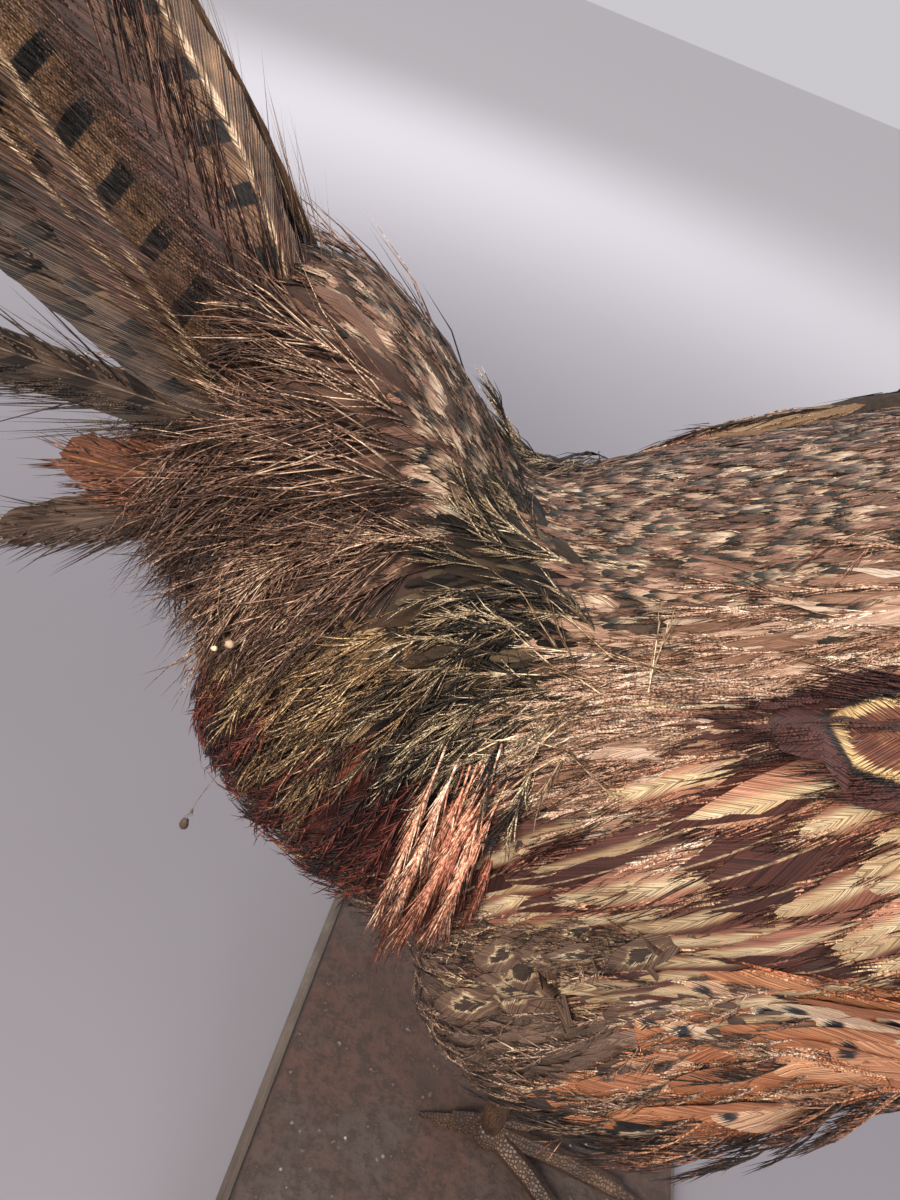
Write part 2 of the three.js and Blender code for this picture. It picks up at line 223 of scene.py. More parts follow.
def grid_faces(rows, columns, wrap=True):
    """Quads of a grid of points in row order; wrap joins the last column to the first."""
    i, j = np.meshgrid(np.arange(rows - 1), np.arange(columns if wrap else columns - 1), indexing="ij")
    k = (j + 1) % columns
    quads = [i * columns + j, i * columns + k, (i + 1) * columns + k, (i + 1) * columns + j]
    return np.stack([q.ravel() for q in quads], axis=1)


paint, place = finish_of("pale_floor", 0.75)
far = wire(place.tree, "ShaderNodeVectorMath", {0: place}, "Value", operation="LENGTH").step(0.25, 1.8)
cover(paint, place.noise(2.3, 6.0).ramp("0.3 79767b 0.7 817e83").mix(far, "dedbdc"))
across, along = np.meshgrid(np.linspace(-40, 40, 13), np.linspace(-40, 40, 13), indexing="ij")
floor_points = np.stack([across.ravel(), along.ravel(), np.full(across.size, -0.0005)], axis=1)
floor = mesh_piece("floor", floor_points, [grid_faces(*across.shape, wrap=False)], paint)

# ---------------------------------------------------------------- board and groundwork
# The board is a dark stained softwood block, worn along its edges. Dried earth and dust
# are glued over it, mottled red-brown and grey, with crumbs that stand up a little.
stain, place = finish_of("stained_board", 0.62)
grain = wire(place.tree, "ShaderNodeMapping", {"Vector": place, "Scale": (60, 7, 60)}).noise(3.0, 8.0, 0.7)
dirt = place.noise(34.0, 9.0, 0.7).step(0.5, 0.66)
cover(stain, grain.ramp("0.3 3b322c 0.55 5a4f47 0.75 72675c").mix(dirt, "6d6860"), grain, 0.4, 0.0006)
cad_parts["base_board"].material_slots[0].material = stain

earth, place = finish_of("dried_earth", 0.88)
blotch = place.noise(26.0, 6.0, 0.62)
speck = place.noise(210.0, 7.0, 0.75)
pale = wire(place.tree, "ShaderNodeTexVoronoi", {"Vector": place, "Scale": 240.0, "Randomness": 1.0})
colour = blotch.ramp("0.28 35302d 0.45 523d35 0.58 4a403b 0.72 5c524b")
colour = colour.mix(speck.step(0.42, 0.62), "3d302b").mix(speck.step(0.6, 0.72), "85766b")
colour = colour.mix(pale.step(0.16, 0.1) * blotch.step(0.55, 0.62), "a8a094")
cover(earth, colour, blotch + speck * 0.5, 0.8, 0.002)
lowest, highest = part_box("base_groundwork")
gx, gy = np.meshgrid(np.linspace(0, 1, 90), np.linspace(0, 1, 120), indexing="ij")
x = lowest[0] + (highest[0] - lowest[0]) * gx
y = lowest[1] + (highest[1] - lowest[1]) * gy
reach = np.maximum(abs(2 * gx - 1), abs(2 * gy - 1))
edge = np.clip((reach - 0.62) / 0.38, 0, 1)
edge = edge * edge * (3 - 2 * edge)
crumbs = 0.5 + 0.5 * np.sin(x * 310 + 2 * np.sin(y * 170)) * np.sin(y * 290 + 2 * np.sin(x * 190))
crumbs += 0.6 * rng.random(x.shape) ** 3
swell = np.sin(x * 1000 / 31 + 1.3) * np.cos(y * 1000 / 43.4)
z = highest[2] - edge * (0.0019 + 0.0016 * swell) - 0.0003 + 0.0005 * crumbs
z = np.where(reach > 0.999, lowest[2], z)
under = np.stack([x, y, np.full(x.shape, lowest[2])], axis=-1)
over = np.stack([x, y, z], axis=-1)
rows, columns = x.shape
sheet = grid_faces(rows, columns, wrap=False)
rim = np.concatenate([
    np.arange(columns),
    np.arange(1, rows) * columns + columns - 1,
    (rows - 1) * columns + np.arange(columns - 2, -1, -1),
    np.arange(rows - 2, 0, -1) * columns,
])
turned = np.roll(rim, -1)
wall = np.stack([rim, rim + x.size, turned + x.size, turned], axis=1)
both = np.concatenate([under.reshape(-1, 3), over.reshape(-1, 3)])
ground = mesh_piece("dried_ground", both, [np.concatenate([sheet[:, ::-1], sheet + x.size, wall])], earth)
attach(ground, "root")
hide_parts("base_groundwork")

# ---------------------------------------------------------------- skin
# The stuffed skin is one hide from the face to the tail root and down both thighs. It is
# the flesh solids run together without a seam, and it lies under them by the coat's depth.
FLESH = ["rump", "trunk", "breast", "neck_lower", "neck_collar", "neck_upper", "head"]
FLESH += ["tail_coverts", "undertail"]
FLESH += [part + mark for part in ("wing_coverts", "wing_flight", "thigh") for mark in ("_R", "_L")]
SPINE = np.array([
    (-0.125, 0.161), (-0.086, 0.162), (-0.044, 0.163), (0.002, 0.179), (0.048, 0.209),
    (0.089, 0.245), (0.111, 0.281), (0.121, 0.312), (0.126, 0.341), (0.130, 0.368), (0.135, 0.391),
    (0.142, 0.405), (0.158, 0.411), (0.180, 0.409),
])
RISE = np.radians(43)
TAIL_WAY = np.array([-np.cos(RISE), 0.0, np.sin(RISE)])


def triangles_of(mesh):
    """A mesh's points and its triangles' corners as arrays."""
    points = np.empty(len(mesh.vertices) * 3)
    mesh.vertices.foreach_get("co", points)
    mesh.calc_loop_triangles()
    corners = np.empty(len(mesh.loop_triangles) * 3, np.int32)
    mesh.loop_triangles.foreach_get("vertices", corners)
    return points.reshape(-1, 3), corners.reshape(-1, 3)


def point_normals(points, corners):
    """Each point's normal: the sum of the cross products of its triangles' sides."""
    a, b, c = (points[corners[:, i]] for i in range(3))
    flat = np.cross(b - a, c - a)
    total = np.zeros_like(points)
    for i in range(3):
        for axis in range(3):
            total[:, axis] += np.bincount(corners[:, i], flat[:, axis], len(points))
    return unit(total)


def run_together(names, voxel):
    """Joins the named nodes and rebuilds them as one closed surface with a Remesh and a
    Smooth modifier. Returns its points and triangles."""
    gathered, faces, count = [], [], 0
    for name in names:
        points, corners = triangles_of(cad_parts[name].data)
        gathered.append(points)
        faces.append(corners + count)
        count += len(points)
    rough = mesh_piece("rough_skin", np.concatenate(gathered), [np.concatenate(faces)], None)
    remesh = rough.modifiers.new("remesh", "REMESH")
    remesh.mode = "VOXEL"
    remesh.voxel_size = voxel
    ease = rough.modifiers.new("ease", "SMOOTH")
    ease.factor = 0.6
    ease.iterations = 9
    held = rough.evaluated_get(bpy.context.evaluated_depsgraph_get())
    result = triangles_of(held.to_mesh())
    held.to_mesh_clear()
    bpy.data.objects.remove(rough)
    return result


def along_spine(points):
    """How far along the spine each point's nearest spine sample is, from 0 to 1, and the
    smoothed way the spine runs there."""
    leg = np.sqrt((np.diff(SPINE, axis=0) ** 2).sum(1))
    reach = np.concatenate([[0], np.cumsum(leg)]) / leg.sum()
    t = np.linspace(0, 1, 90)
    samples = np.stack([np.interp(t, reach, SPINE[:, i]) for i in (0, 1)], axis=1)
    way = unit(np.gradient(samples, axis=0))
    smooth = [np.convolve(np.pad(way[:, i], 6, "edge"), np.ones(13) / 13, "valid") for i in (0, 1)]
    way = unit(np.stack(smooth, 1))
    near = np.empty(len(points), int)
    for part in np.array_split(np.arange(len(points)), max(1, len(points) // 40000)):
        gap = (points[part, None, 0] - samples[:, 0]) ** 2 + (points[part, None, 2] - samples[:, 1]) ** 2
        near[part] = gap.argmin(1)
    run = np.stack([way[near, 0], np.zeros(len(points)), way[near, 1]], axis=1)
    return t[near], run, samples[near]


def ripple(points, scale, seed):
    """Smooth noise about zero: the mean of products of sines with shifted phases."""
    x, y, z = (points / scale).T
    total = np.zeros(len(points))
    for k in range(3):
        a = 1.0 + 0.83 * k
        shift = seed * 1.7 + k * 2.1
        total += np.sin(a * x + 1.3 * a * z + shift) * np.sin(a * y - 0.9 * a * z + 2 * shift)
    return total / 3


# Feather tracts of the right half: the skin's colour, how the feathers lie, as forward,
# outward and upward shares (None: straight back along the body), and some places, in
# millimetres. The last three tracts have no places and go by rules of their own.
TRACTS = {
    "breast": ("6b3a22", None, [
        (110, 20, 230), (120, 0, 290), (95, 45, 215), (70, 30, 170), (112, 30, 270), (80, 60, 215)]),
    "mantle": ("6a4a2c", None, [
        (85, 20, 300), (62, 22, 288), (40, 25, 272), (98, 25, 312), (108, 20, 325), (75, 50, 285)]),
    "lower_back": ("5a483a", None, [
        (20, 10, 262), (-23, 17, 252), (-45, 17, 237), (-56, 2, 232), (-11, 33, 252), (25, 30, 262),
        (-32, 38, 232), (-42, 29, 232), (-60, 12, 229)]),
    "pale_bases": ("866a58", (-0.65, -0.05, -0.7), [
        (-29, 47, 224), (-34, 60, 221), (-12, 46, 243), (-24, 63, 229), (2, 52, 254), (-25, 66, 232),
        (-38, 51, 217)]),
    "scapular": ("7a5038", (-0.3, -0.05, -0.95), [
        (-13, 69, 239), (-37, 66, 208), (-42, 64, 184), (-8, 76, 214), (-23, 70, 191), (20, 78, 240),
        (14, 62, 258), (20, 80, 215)]),
    "wing_covert": ("6b4a38", None, [(60, 80, 255), (92, 70, 272), (52, 82, 232), (75, 76, 240)]),
    "flank": ("a0643f", (-0.97, 0.0, -0.25), [
        (50, 70, 192), (44, 68, 176), (42, 63, 158), (62, 62, 180), (54, 52, 155)]),
    "thigh": ("6c5a4c", (-0.6, -0.1, -0.8), [
        (-45, 58, 147), (-36, 60, 122), (-17, 65, 118), (0, 45, 90), (-20, 40, 80), (-30, 62, 160),
        (-40, 30, 110), (0, 15, 112), (-5, 66, 153), (14, 66, 165)]),
    "belly": ("33261f", (-0.8, 0.0, -0.6), [
        (25, 20, 112), (-35, 8, 102), (60, 20, 135), (14, 62, 112), (35, 35, 120)]),
    "vent": ("3e261a", (-0.8, -0.1, -0.5), [
        (-98, 42, 158), (-74, 51, 150), (-112, 0, 140), (-80, 20, 120), (-88, 42, 135)]),
    "maroon": ("34180f", (-0.3, 0.1, -0.9), [
        (-103, 39, 177), (-91, 46, 181), (-112, 30, 168), (-121, 8, 172), (-78, 52, 172), (-108, 33, 183),
        (-97, 43, 166)]),
    "salmon": ("34180f", (-0.1, 0.1, -1.0), [(-62, 57, 190), (-65, 57, 176)]),
    "olive": ("3c2e22", (-0.4, 0.3, -0.85), [
        (-103, 26, 202), (-92, 32, 204), (-109, 30, 194), (-80, 38, 204), (-118, 28, 201), (-124, 8, 205),
        (-88, 38, 197), (-74, 38, 206)]),
    "whorl_up": ("2a231d", (-0.3, -0.7, 0.55), [(-62, 24, 220), (-56, 31, 219)]),
    "whorl": ("2a231d", (-0.4, 0.3, -0.8), [(-63, 44, 204), (-50, 46, 210), (-58, 40, 211)]),
    "tail_ridge": ("4a382c", (-0.8, -0.15, 0.6), [(-113, 9, 252), (-132, 0, 264)]),
    "saddle": ("5a483a", (-0.8, -0.15, 0.6), [(-96, 8, 247), (-80, 3, 240), (-68, 6, 232), (-72, 14, 229)]),
    "tail_hair": ("4c342b", (-0.9, 0.4, -0.15), [(-128, 13, 246), (-117, 20, 243), (-138, 18, 236)]),
    "tail_side": ("4c342b", (-0.5, 0.35, -0.75), [
        (-111, 25, 233), (-125, 18, 222), (-118, 18, 213), (-92, 25, 230), (-80, 23, 226), (-98, 24, 214),
        (-84, 29, 214), (-71, 29, 218)]),
    "collar": ("b8b0a0", None, []),
    "hackle": ("14241f", None, []),
    "straw": ("3e3228", None, []),
}
TRACT_NAMES = list(TRACTS)


def numbers_of(names):
    """The numbers of some tracts, whose names are given with blanks between."""
    return [TRACT_NAMES.index(name) for name in names.split()]


def folded(points):
    """The points with y counted outwards on both sides."""
    return np.stack([points[:, 0], abs(points[:, 1]), points[:, 2]], axis=1)


def tract_of(points):
    """The tract each point lies in: that of the nearest named place once the point has
    been moved a little by smooth noise. The neck above the breast goes by height, and the
    upper far edge of the back is straw."""
    moved = folded(points)
    for axis in range(3):
        moved[:, axis] += 0.004 * ripple(points, 0.011, axis + 1)
    nearest = np.full(len(points), 1e9)
    chosen = np.zeros(len(points), int)
    for index, (_, _, places) in enumerate(TRACTS.values()):
        for place in places:
            gap = ((moved - np.array(place) / 1000) ** 2).sum(1)
            chosen[gap < nearest] = index
            nearest = np.minimum(nearest, gap)
    x, y, z = points.T
    rise = z + 0.25 * (x - 0.125)
    chosen[(rise > 0.322) & (x > 0.07)] = numbers_of("collar")
    chosen[(rise > 0.345) & (x > 0.07)] = numbers_of("hackle")
    chosen[(y > 0) & (chosen == numbers_of("salmon"))] = numbers_of("scapular")
    far_edge = (y > 0.03) & (z > 0.238) & (x < 0.1) & (x > -0.05)
    chosen[far_edge & np.isin(chosen, numbers_of("scapular pale_bases"))] = numbers_of("straw")
    return chosen


def lie_of(points, normals, run):
    """The way feathers lie at each point: straight back along the body, mixed with every
    tract's own lie by a bell curve of the distance to its places, then flattened on the skin."""
    near = folded(points)
    past = np.clip(((points - (-0.07, 0, 0.2)) @ TAIL_WAY) / 0.02, 0, 1)[:, None]
    run = run * (1 - past) - TAIL_WAY * past
    total = -0.12 * run
    for _, lie, places in TRACTS.values():
        for place in places:
            weight = np.exp(-((near - np.array(place) / 1000) ** 2).sum(1) / (2 * 0.013**2))
            total += weight[:, None] * (-run if lie is None else np.array(lie))
    total[:, 1] *= -np.tanh(-points[:, 1] / 0.006)
    return unit(total - normals * (total * normals).sum(1, keepdims=True))


skin_points, skin_faces = run_together(FLESH, 0.003)
skin_normals = point_normals(skin_points, skin_faces)
skin_t, skin_run, _ = along_spine(skin_points)
depth = np.interp(skin_t, [0, 0.62, 0.75, 0.92, 1], [0.0048, 0.0048, 0.003, 0.0018, 0.0012])
skin_points = skin_points - skin_normals * depth[:, None]
skin_tract = tract_of(skin_points)
skin_lie = lie_of(skin_points, skin_normals, skin_run)
hide, place = finish_of("bird_skin", 0.85)
fuzz = place.noise(420.0, 6.0, 0.7)
base = wire(place.tree, "ShaderNodeAttribute", {}, "Color", attribute_name="tract_colour")
cover(hide, base.mix(1.0, fuzz.ramp("0.3 8c8c8c 0.7 ffffff"), "MULTIPLY"), fuzz, 0.8, 0.001)
skin = mesh_piece("skin", skin_points, [skin_faces], hide)
tint = skin.data.attributes.new("tract_colour", "FLOAT_COLOR", "POINT")
palette = np.array([shade(colour) for colour, _, _ in TRACTS.values()])
tint.data.foreach_set("color", palette[skin_tract].astype(np.float32).ravel())
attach(skin, "root")
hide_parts(*FLESH)

# ---------------------------------------------------------------- coat: feathers on the skin
# Every feather grows from the skin and lies back over the next ones. A vane is a thin
# closed blade with a shaft ridge; a plume is a bare shaft with loose separate barbs.
CELL = 0.003
grid_low = skin_points.min(0) - 0.03
grid_size = np.ceil((skin_points.max(0) + 0.03 - grid_low) / CELL).astype(int)


def nearest_grid():
    """For every cell of a box grid near the skin, the skin point nearest to it. Cells pass
    their point on to their neighbours, which keep the closer of the two, ten times over."""
    held = np.full(grid_size, -1)
    held[tuple(((skin_points - grid_low) / CELL).astype(int).T)] = np.arange(len(skin_points))
    cells = np.meshgrid(*[np.arange(n) + 0.5 for n in grid_size], indexing="ij")
    middle = np.stack(cells, axis=-1) * CELL + grid_low
    gap = np.where(held >= 0, ((skin_points[held] - middle) ** 2).sum(-1), 1e9)
    for axis, shift in [(0, 1), (0, -1), (1, 1), (1, -1), (2, 1), (2, -1)] * 10:
        other = np.roll(held, shift, axis)
        far = np.where(other >= 0, ((skin_points[other] - middle) ** 2).sum(-1), 1e9)
        closer = far < gap
        held = np.where(closer, other, held)
        gap = np.where(closer, far, gap)
    return held


near_grid = nearest_grid()


def near_skin(points):
    """The skin point nearest to each point, or -1 far from the skin."""
    spot = ((points - grid_low) / CELL).astype(int)
    inside = ((spot >= 0) & (spot < grid_size)).all(-1)
    spot = np.clip(spot, 0, grid_size - 1)
    return np.where(inside, near_grid[spot[..., 0], spot[..., 1], spot[..., 2]], -1)


def roots_in(tracts, spacing, keep=None):
    """Evenly spread skin points of some tracts: random points on the skin's triangles,
    thinned to one in each cell of a grid as wide as the spacing."""
    wanted = np.isin(skin_tract, numbers_of(tracts))
    mine = skin_faces[wanted[skin_faces[:, 0]]]
    a, b, c = (skin_points[mine[:, i]] for i in range(3))
    area = np.sqrt((np.cross(b - a, c - a) ** 2).sum(1)) / 2
    count = int(area.sum() / spacing**2 * 5)
    pick = rng.choice(len(mine), count, p=area / area.sum())
    u, v = rng.random((2, count, 1))
    flip = u + v > 1
    u, v = np.where(flip, 1 - u, u), np.where(flip, 1 - v, v)
    points = a[pick] + u * (b - a)[pick] + v * (c - a)[pick]
    code = (points / spacing + 500).astype(int) @ np.array([1, 2003, 4012009])
    _, first = np.unique(code, return_index=True)
    points = points[rng.permutation(first)]
    return points if keep is None else points[keep(points)]


def lay_down(roots, reach, stations, yaw=0.15, follow=0.8, turn=0.25, way=None):
    """Walks each feather's middle line over the skin. Each step goes on along the feather,
    turns partly to the local lie, and is pulled back partly to the skin (all the way when
    it is under it). Returns places, normals and ways at the stations from 0 to 1."""
    index = near_skin(roots)
    normal = skin_normals[index]
    heading = skin_lie[index] if way is None else unit(way - normal * (way * normal).sum(1, keepdims=True))
    angle = rng.normal(0, yaw, len(roots))[:, None]
    heading = heading * np.cos(angle) + np.cross(normal, heading) * np.sin(angle)
    place = roots.copy()
    trail = [(place, normal, heading)]
    for stride in np.diff(stations):
        place = place + heading * (reach * stride)[:, None]
        index = near_skin(place)
        known = (index >= 0)[:, None]
        target = np.where(known, skin_normals[index], normal)
        height = ((place - skin_points[index]) * target).sum(1, keepdims=True) * known
        hold = np.where(height < 0, 1.0, follow)
        place = place - target * height * hold
        normal = unit(normal * (1 - hold) + target * hold)
        local = np.where(known, skin_lie[index], heading)
        heading = unit(heading * (1 - turn) + local * turn)
        heading = unit(heading - normal * (heading * normal).sum(1, keepdims=True))
        trail.append((place, normal, heading))
    return [np.stack(part, axis=1) for part in zip(*trail)]


def bake_place(points):
    """A place for each root on an unwrap of the body's own shape: round the spine and
    along it. The legs below the body have their own strips."""
    share, run, middle = along_spine(points)
    x, y, z = points.T
    rise = (z - middle[:, 1]) * run[:, 0] - (x - middle[:, 0]) * run[:, 2]
    around = np.arctan2(y, rise) / (2 * np.pi) + 0.5
    body = np.stack([0.01 + 0.76 * around, 0.01 + 0.97 * share], axis=1)
    leg = (z < 0.135) & (abs(y) > 0.024) & (x > -0.06) & (x < 0.06)
    swing = np.arctan2(abs(y) - 0.04, x + 0.005) / (2 * np.pi) + 0.5
    strip = np.stack([0.79 + 0.095 * swing + 0.1 * (y > 0), 0.02 + 6.5 * (z - 0.06)], axis=1)
    return np.where(leg[:, None], strip, body)


def ring_mesh(rings, tips, flat, edge, bake, tone, rims=()):
    """Closes bundles of rings into blades or spikes: quads along, a point at the end and
    one face over the root. Adds the feather's own map, its bake patch, its tone and a
    mark on the points of its thin rims, which stay sharp."""
    count, length, width, _ = rings.shape
    size = length * width + 1
    points = np.concatenate([rings.reshape(count, -1, 3), tips[:, None]], axis=1).reshape(-1, 3)
    start = np.arange(count)[:, None, None] * size
    last = (length - 1) * width
    turn = np.arange(width)
    side = grid_faces(length, width)[None] + start
    tip = np.stack([last + turn, last + (turn + 1) % width, np.full(width, size - 1)], axis=1)[None] + start
    root = turn[::-1][None, None] + start
    flat = np.concatenate([flat.reshape(count, -1, 2), edge[:, None]], axis=1)
    patch = bake[:, None] + 0.003 * np.clip(flat, 0, 1)
    faces = [side.reshape(-1, 4), tip.reshape(-1, 3), root.reshape(-1, width)]
    rim = np.zeros(size, bool)
    rim[[step * width + column for step in range(length) for column in rims]] = True
    rim[-1] = len(rims) > 0
    flat, patch = flat.reshape(-1, 2), patch.reshape(-1, 2)
    return points, faces, flat, patch, np.repeat(tone, size), np.tile(rim, count)


# Cross sections of a blade, across and up, and stations along a feather from 0 to 1.
SLIM = np.array([(-1, 0), (0, 0.6), (1, 0), (0, -0.4)])
FULL = np.array([(-1, 0), (-0.5, 0.45), (0, 0.8), (0.5, 0.45), (1, 0), (0.5, -0.35), (0, -0.5),
                 (-0.5, -0.35)])
SHORT = [0.0, 0.2, 0.5, 0.78, 0.95]
LONG = [0.0, 0.15, 0.35, 0.6, 0.85, 1.0]
FINE = [0.0, 0.08, 0.18, 0.3, 0.42, 0.54, 0.65, 0.75, 0.84, 0.91, 0.96]


def vanes(roots, reach, half, stations=SHORT, section=SLIM, rise=0.0022, sink=0.0012, thick=0.0003,
          jag=0.12, camber=0.08, blunt=0.5, tone=None, tip=(2.6, 0.5), **lay):
    """Closed blades. The half width grows from a share at the root, is full from the
    middle on, and closes on a tip that is round, or pointed when the second power of tip
    is near 1; jag makes it ragged. The blade rises off the skin from a sunk root, and its
    edges bend down. Returns the mesh and the lines on which barbs can grow."""
    count = len(roots)
    reach = reach * rng.uniform(0.85, 1.15, count)
    half = half * rng.uniform(0.85, 1.15, count)
    v = np.array(stations)
    place, normal, way = lay_down(roots, reach, v, **lay)
    side = np.cross(way, normal)
    grown = 0.35 + 0.65 * np.sin(np.pi / 2 * np.clip(v / 0.55, 0, 1))
    full = grown * (1 - np.clip((v - blunt) / (1.001 - blunt), 0, 1) ** tip[0]) ** tip[1]
    height = -sink + (sink + rise) * np.sin(np.pi / 2 * np.clip(v * 1.1, 0, 1))
    tilt = rng.normal(0, 0.12, count)[:, None, None]
    ragged = 1 + jag * rng.normal(0, 1, (count, len(v), 1))
    across = half[:, None, None] * full[None, :, None] * section[:, 0] * ragged
    swell = thick * section[:, 1] * np.minimum(1, full + 0.2)[None, :, None]
    droop = camber * across**2 / np.maximum(half, 1e-4)[:, None, None]
    up = height[None, :, None] * rng.uniform(0.7, 1.3, (count, 1, 1)) + swell - droop + tilt * across
    rings = place[:, :, None] + side[:, :, None] * across[..., None] + normal[:, :, None] * up[..., None]
    end = place[:, -1] + way[:, -1] * (0.03 * reach)[:, None] + normal[:, -1] * (height[-1] * 0.9)
    flat = np.empty((count, len(v), len(section), 2))
    flat[..., 0] = 0.5 + 0.5 * section[:, 0] * full[None, :, None]
    flat[..., 1] = v[None, :, None]
    tone = rng.random(count) if tone is None else tone
    edge = np.tile([0.5, 1.0], (count, 1))
    made = ring_mesh(rings, end, flat, edge, bake_place(roots), tone, (0, len(section) // 2))
    return made, (stations, place, normal, way, reach, half, height, tone)


def spike_rings(line, right, top, girth):
    """Rings of three points round each place of some lines: cosine times one axis plus
    sine times the other."""
    turn = np.radians([90, -30, -150])
    ring = right[..., None, :] * np.cos(turn)[:, None] + top[..., None, :] * np.sin(turn)[:, None]
    return line[..., None, :] + ring * girth[..., None, None]


def barbs(laid, each, spread, reach_share, thick, span=(0.1, 0.98), begin=(0.0, 0.0), bend=0.6, lift=0.1,
          fuzz=0.12, hands=None, joints=2):
    """Loose barbs on both sides of each shaft, as closed three-sided spikes. Each leaves
    its shaft at the spread angle and bends forward along a parabola; begin is how far its
    root may lie out across the vane. Fuzz turns each one at random, and lift raises its end."""
    stations, place, normal, way, reach, half, height, tone = laid
    stations = np.asarray(stations)
    count = len(place)
    total = count * each
    s = np.sort(rng.uniform(*span, (count, each)), axis=1)
    hand = np.where(np.arange(each) % 2 == 0, 1.0, -1.0)[None, :] if hands is None else hands[None, :]
    slot = np.clip(np.searchsorted(stations, s.ravel()) - 1, 0, len(stations) - 2).reshape(s.shape)
    share = ((s - stations[slot]) / (stations[slot + 1] - stations[slot]))[..., None]
    row = np.arange(count)[:, None]
    pick = lambda part: part[row, slot] * (1 - share) + part[row, slot + 1] * share
    up, ahead = unit(pick(normal)), unit(pick(way))
    out = np.cross(ahead, up) * hand[..., None]
    rise = np.interp(s, stations, height)
    inset = half[:, None] * np.sin(np.pi * np.clip(s, 0.1, 0.9)) * rng.uniform(*begin, s.shape)
    base = pick(place) + up * rise[..., None] + out * inset[..., None]
    angle = spread * rng.uniform(0.75, 1.25, s.shape) * (1.15 - 0.5 * s)
    long = (reach[:, None] * reach_share * rng.uniform(0.6, 1.2, s.shape) * (1.1 - 0.45 * s))[..., None]
    lifted = rng.normal(lift, fuzz, s.shape)[..., None]
    sway = rng.normal(0, fuzz, s.shape)[..., None]
    w = np.linspace(0, 1, joints + 1)[None, None, :]
    forth = long * (w * np.cos(angle)[..., None] + bend * (1 - np.cos(angle))[..., None] * w**2)
    aside = long * (np.sin(angle)[..., None] * (w - bend * w**2 / 2) + sway * w**2)
    above = long * (lifted * w - (0.6 * lifted + 0.06) * w**2)
    line = (base[:, :, None] + ahead[:, :, None] * forth[..., None] + out[:, :, None] * aside[..., None]
            + up[:, :, None] * above[..., None])
    heading = unit(np.gradient(line, axis=2))
    right = unit(np.cross(heading, up[:, :, None]))
    top = np.cross(right, heading)
    girth = thick * rng.uniform(0.7, 1.3, s.shape)[..., None] * np.linspace(1, 0.8, joints)
    rings = spike_rings(line[:, :, :joints], right[:, :, :joints], top[:, :, :joints], girth)
    flat = np.empty((count, each, joints + 1, 2))
    flat[..., 0] = 0.5 + 0.5 * hand[..., None] * (aside + inset[..., None]) / half[:, None, None]
    flat[..., 1] = s[..., None] + forth / reach[:, None, None]
    ring_flat = np.repeat(flat[:, :, :joints, None], 3, axis=3).reshape(total, joints, 3, 2)
    tones = np.clip(np.repeat(tone, each) + rng.normal(0, 0.24, total), 0, 1)
    ends = line[:, :, joints].reshape(total, 3)
    bake = np.repeat(bake_place(place[:, 0]), each, axis=0)
    rings = rings.reshape(total, joints, 3, 3)
    return ring_mesh(rings, ends, ring_flat, flat[:, :, joints].reshape(total, 2), bake, tones)


def shafts(laid, thick):
    """The bare shafts of plumes as closed three-sided spikes along their middle lines."""
    _, place, normal, way, _, _, height, tone = laid
    count, length = place.shape[:2]
    middle = place + normal * height[None, :, None]
    girth = thick * (1 - 0.8 * np.linspace(0, 1, length))
    rings = spike_rings(middle, np.cross(way, normal), normal, girth[None])
    flat = np.empty((count, length, 3, 2))
    flat[..., 0] = 0.5
    flat[..., 1] = np.linspace(0, 1, length)[None, :, None]
    end = middle[:, -1] + way[:, -1] * 0.0005
    edge = np.tile([0.5, 1.0], (count, 1))
    return ring_mesh(rings, end, flat, edge, bake_place(place[:, 0]), np.clip(tone + 0.2, 0, 1))


def plumes(roots, reach, each, spread, share, thick, half, rise=0.003, lift=0.1, fuzz=0.12, shaft=0.0003,
           joints=2, **lay):
    """Shafts with loose barbs and no closed web, laid over the skin like vanes."""
    count = len(roots)
    reach = reach * rng.uniform(0.75, 1.25, count)
    place, normal, way = lay_down(roots, reach, np.array(LONG), **lay)
    height = -0.001 + (0.001 + rise) * np.sin(np.pi / 2 * np.array(LONG))
    laid = (LONG, place, normal, way, reach, np.full(count, half), height, rng.random(count))
    return [shafts(laid, shaft), barbs(laid, each, spread, share, thick, lift=lift, fuzz=fuzz, joints=joints)]


def coat_piece(name, parts, material):
    """Joins blades and spikes into one piece that rides on the body, with its finish."""
    points, faces, flats, patches, tones, rims = zip(*parts)
    starts = np.cumsum([0] + [len(part) for part in points])
    faces = [part + start for group, start in zip(faces, starts) for part in group]
    maps = {"vane": np.concatenate(flats), "OFBake": np.concatenate(patches)}
    piece = mesh_piece(name, np.concatenate(points), faces, material, maps, {"tone": np.concatenate(tones)})
    ends = np.empty(len(piece.data.edges) * 2, np.int32)
    piece.data.edges.foreach_get("vertices", ends)
    sharp = np.concatenate(rims)[ends].reshape(-1, 2).all(1)
    piece.data.attributes.new("sharp_edge", "BOOLEAN", "EDGE").data.foreach_set("value", sharp)
    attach(piece, "root")
    return piece


def webbed(roots, stations, web, fringe):
    """Closed vanes and a fringe of loose barbs that grow out of them."""
    under, laid = vanes(roots, stations=stations, **web)
    return [under, barbs(laid, joints=1, **fringe)]


def downy_piece(name, tracts, paint, web_gap, web, plume_gap, plume, keep=None, dull=None):
    """Lays narrow ragged vanes on some tracts, and loose plumes over them, as one piece.
    Dull is the range of the vanes' tones; without it they are the full range."""
    roots = roots_in(tracts, web_gap, keep)
    tone = None if dull is None else rng.uniform(*dull, len(roots))
    under, _ = vanes(roots, tone=tone, **web)
    roots = roots_in(tracts, plume_gap, keep)
    coat_piece(name, [under, *plumes(roots, **plume)], paint)


